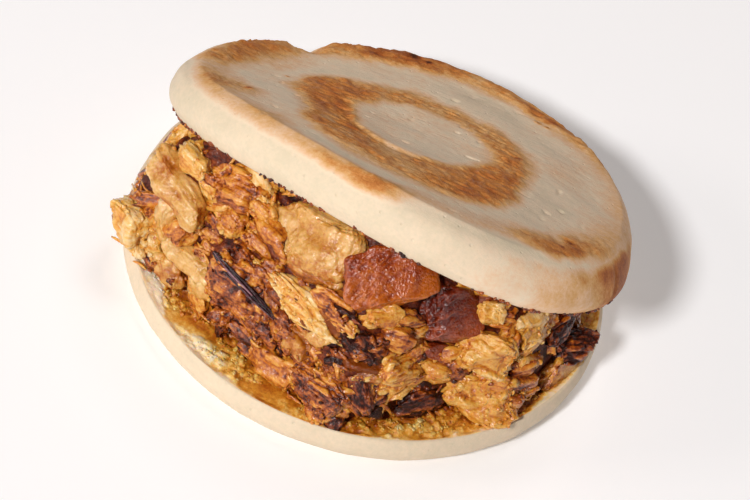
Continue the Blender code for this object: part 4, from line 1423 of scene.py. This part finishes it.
def vein():
    steps, sides, own_length = 60, 8, 24
    middle = through(VEIN_PATH, steps)
    along = np.gradient(middle, axis=0)
    along /= np.linalg.norm(along, axis=1)[:, None]
    outwards = np.array([-0.15, -0.8, 0.58])
    side = np.cross(along, outwards)
    side /= np.linalg.norm(side, axis=1)[:, None]
    up = np.cross(side, along)
    # Braised sinew: purple-black with a wet gloss; its pale end gives the painted highlights of the
    # palest cords.
    stuff = braised_pork("dark_vein", ((0.0, "#1A0408"), (0.4, "#3C1018"), (0.7, "#6E3440"),
                                       (1.0, "#B08890")),
                         shine=1.0, rough=0.3, scatter=0.0, streak=1.0, spread=0.6)
    batch = Batch()
    for cord, tone in enumerate(CORD_TONES_AND_GLINTS):
        points = []
        for i, place in enumerate(middle):
            t = i / (steps - 1)
            swell = math.sin(math.pi * min(1.0, t * 0.97 + 0.05)) ** 0.7
            wide = 0.08 + (0.16 + 0.04 * (cord % 3)) * swell
            off = ((cord - 3) * 0.27 + 0.16 * math.sin(6 * t + 2.1 * cord)) * (0.25 + 0.75 * swell)
            rise = 0.16 * math.sin(5 * t + 1.9 * cord) + 0.1 * (cord % 2)
            for k in range(sides):
                angle = 2 * math.pi * k / sides
                points.append(place + side[i] * (off + wide * math.cos(angle))
                              + up[i] * (rise + wide * math.sin(angle)))
        points = np.array(points)
        lengthwise = np.repeat(np.linspace(0, own_length, steps), sides)
        own = np.stack([lengthwise, points[:, 1], points[:, 2]], -1)
        batch.take(points, tube_faces(steps, sides), own, np.full(len(points), tone))
    return batch.finish("vein", stuff, "chopped_pork")


VEIN = vein()

# %% [markdown]
# ## Light, floor and camera
# A photographer's still life on a white sweep: one big soft light from the front left,
# a bright room around it, and a long lens from above. The camera's place was worked out
# from the outlines of both bread halves, and it is rolled so that the bread leans in the
# frame as it does in the picture.

# %% Floor
FLOOR_REACH, FLOOR_DROP = 2500.0, 0.02


def floor():
    """White paper that glows a little, as it does under a photographer's lamps."""
    stuff, tree, shader = new_stuff("white_sweep")
    feed(tree, shader, {"Base Color": linear("#F7F6F7"), "Roughness": 0.9,
                        "Specular IOR Level": 0.1, "Emission Color": linear("#FFFFFF"),
                        "Emission Strength": 0.13})
    corners = [(side * FLOOR_REACH, end * FLOOR_REACH, -FLOOR_DROP)
               for side, end in ((-1, -1), (1, -1), (1, 1), (-1, 1))]
    made = piece("floor", corners, [(0, 1, 2, 3)], [stuff])


floor()

# %% Camera
CAMERA_ANGLES = (8.34, 45.74, 18.7)  # round the bread, above the floor, roll
CAMERA_AIM, CAMERA_AWAY = Vector((1.16, 0.0, 9.55)), 0.6  # mm, and metres back
FOCAL_LENGTH, PICTURE_WIDTH = 2679.31, 750.0  # both in the picture's own dots
SENSOR_WIDTH = 36.0


def camera():
    azimuth, height, roll = (math.radians(v) for v in CAMERA_ANGLES)
    back = Vector((math.sin(azimuth) * math.cos(height), -math.cos(azimuth) * math.cos(height),
                   math.sin(height)))
    flat = Vector((0, 0, 1)).cross(back).normalized()
    upright = back.cross(flat)
    right = math.cos(roll) * flat + math.sin(roll) * upright
    up = -math.sin(roll) * flat + math.cos(roll) * upright
    place = CAMERA_AIM * MM + back * CAMERA_AWAY
    data = bpy.data.cameras.new("camera")
    data.sensor_fit, data.sensor_width = "HORIZONTAL", SENSOR_WIDTH
    data.lens = FOCAL_LENGTH * SENSOR_WIDTH / PICTURE_WIDTH
    data.clip_start, data.clip_end = 0.01, 20.0
    made = bpy.data.objects.new("camera", data)
    made.matrix_world = Matrix((
        (right.x, up.x, back.x, place.x), (right.y, up.y, back.y, place.y),
        (right.z, up.z, back.z, place.z), (0, 0, 0, 1)))
    bpy.context.scene.collection.objects.link(made)
    bpy.context.scene.camera = made
    print("lens", round(data.lens, 1), "mm")


camera()

# %% Lights
LIGHTS_AIM = Vector((0, 0, 0.02))


def soft_light(name, place, size, power, colour="#FFFFFF"):
    data = bpy.data.lights.new(name, "AREA")
    data.shape, data.size, data.energy = "DISK", size, power
    data.color = linear(colour)[:3]
    made = bpy.data.objects.new(name, data)
    made.location = place
    made.rotation_euler = (LIGHTS_AIM - Vector(place)).to_track_quat("-Z", "Y").to_euler()
    bpy.context.scene.collection.objects.link(made)


soft_light("key", (-0.493, -1.885, 1.64), size=0.34, power=51.5)
soft_light("roof", (0.25, 0.6, 2.2), size=1.1, power=13.5, colour="#FFF6F1")
soft_light("left", (-1.9, -0.9, 0.8), size=0.6, power=8.5, colour="#FFF6F0")
room = bpy.data.worlds.new("room")
room.use_nodes = True
feed(room.node_tree, room.node_tree.nodes["Background"],
     {"Color": linear("#FFF0EA"), "Strength": 0.06})
bpy.context.scene.world = room
bpy.context.scene.view_settings.view_transform = "Standard"

# %% Finish
bpy.context.view_layer.update()
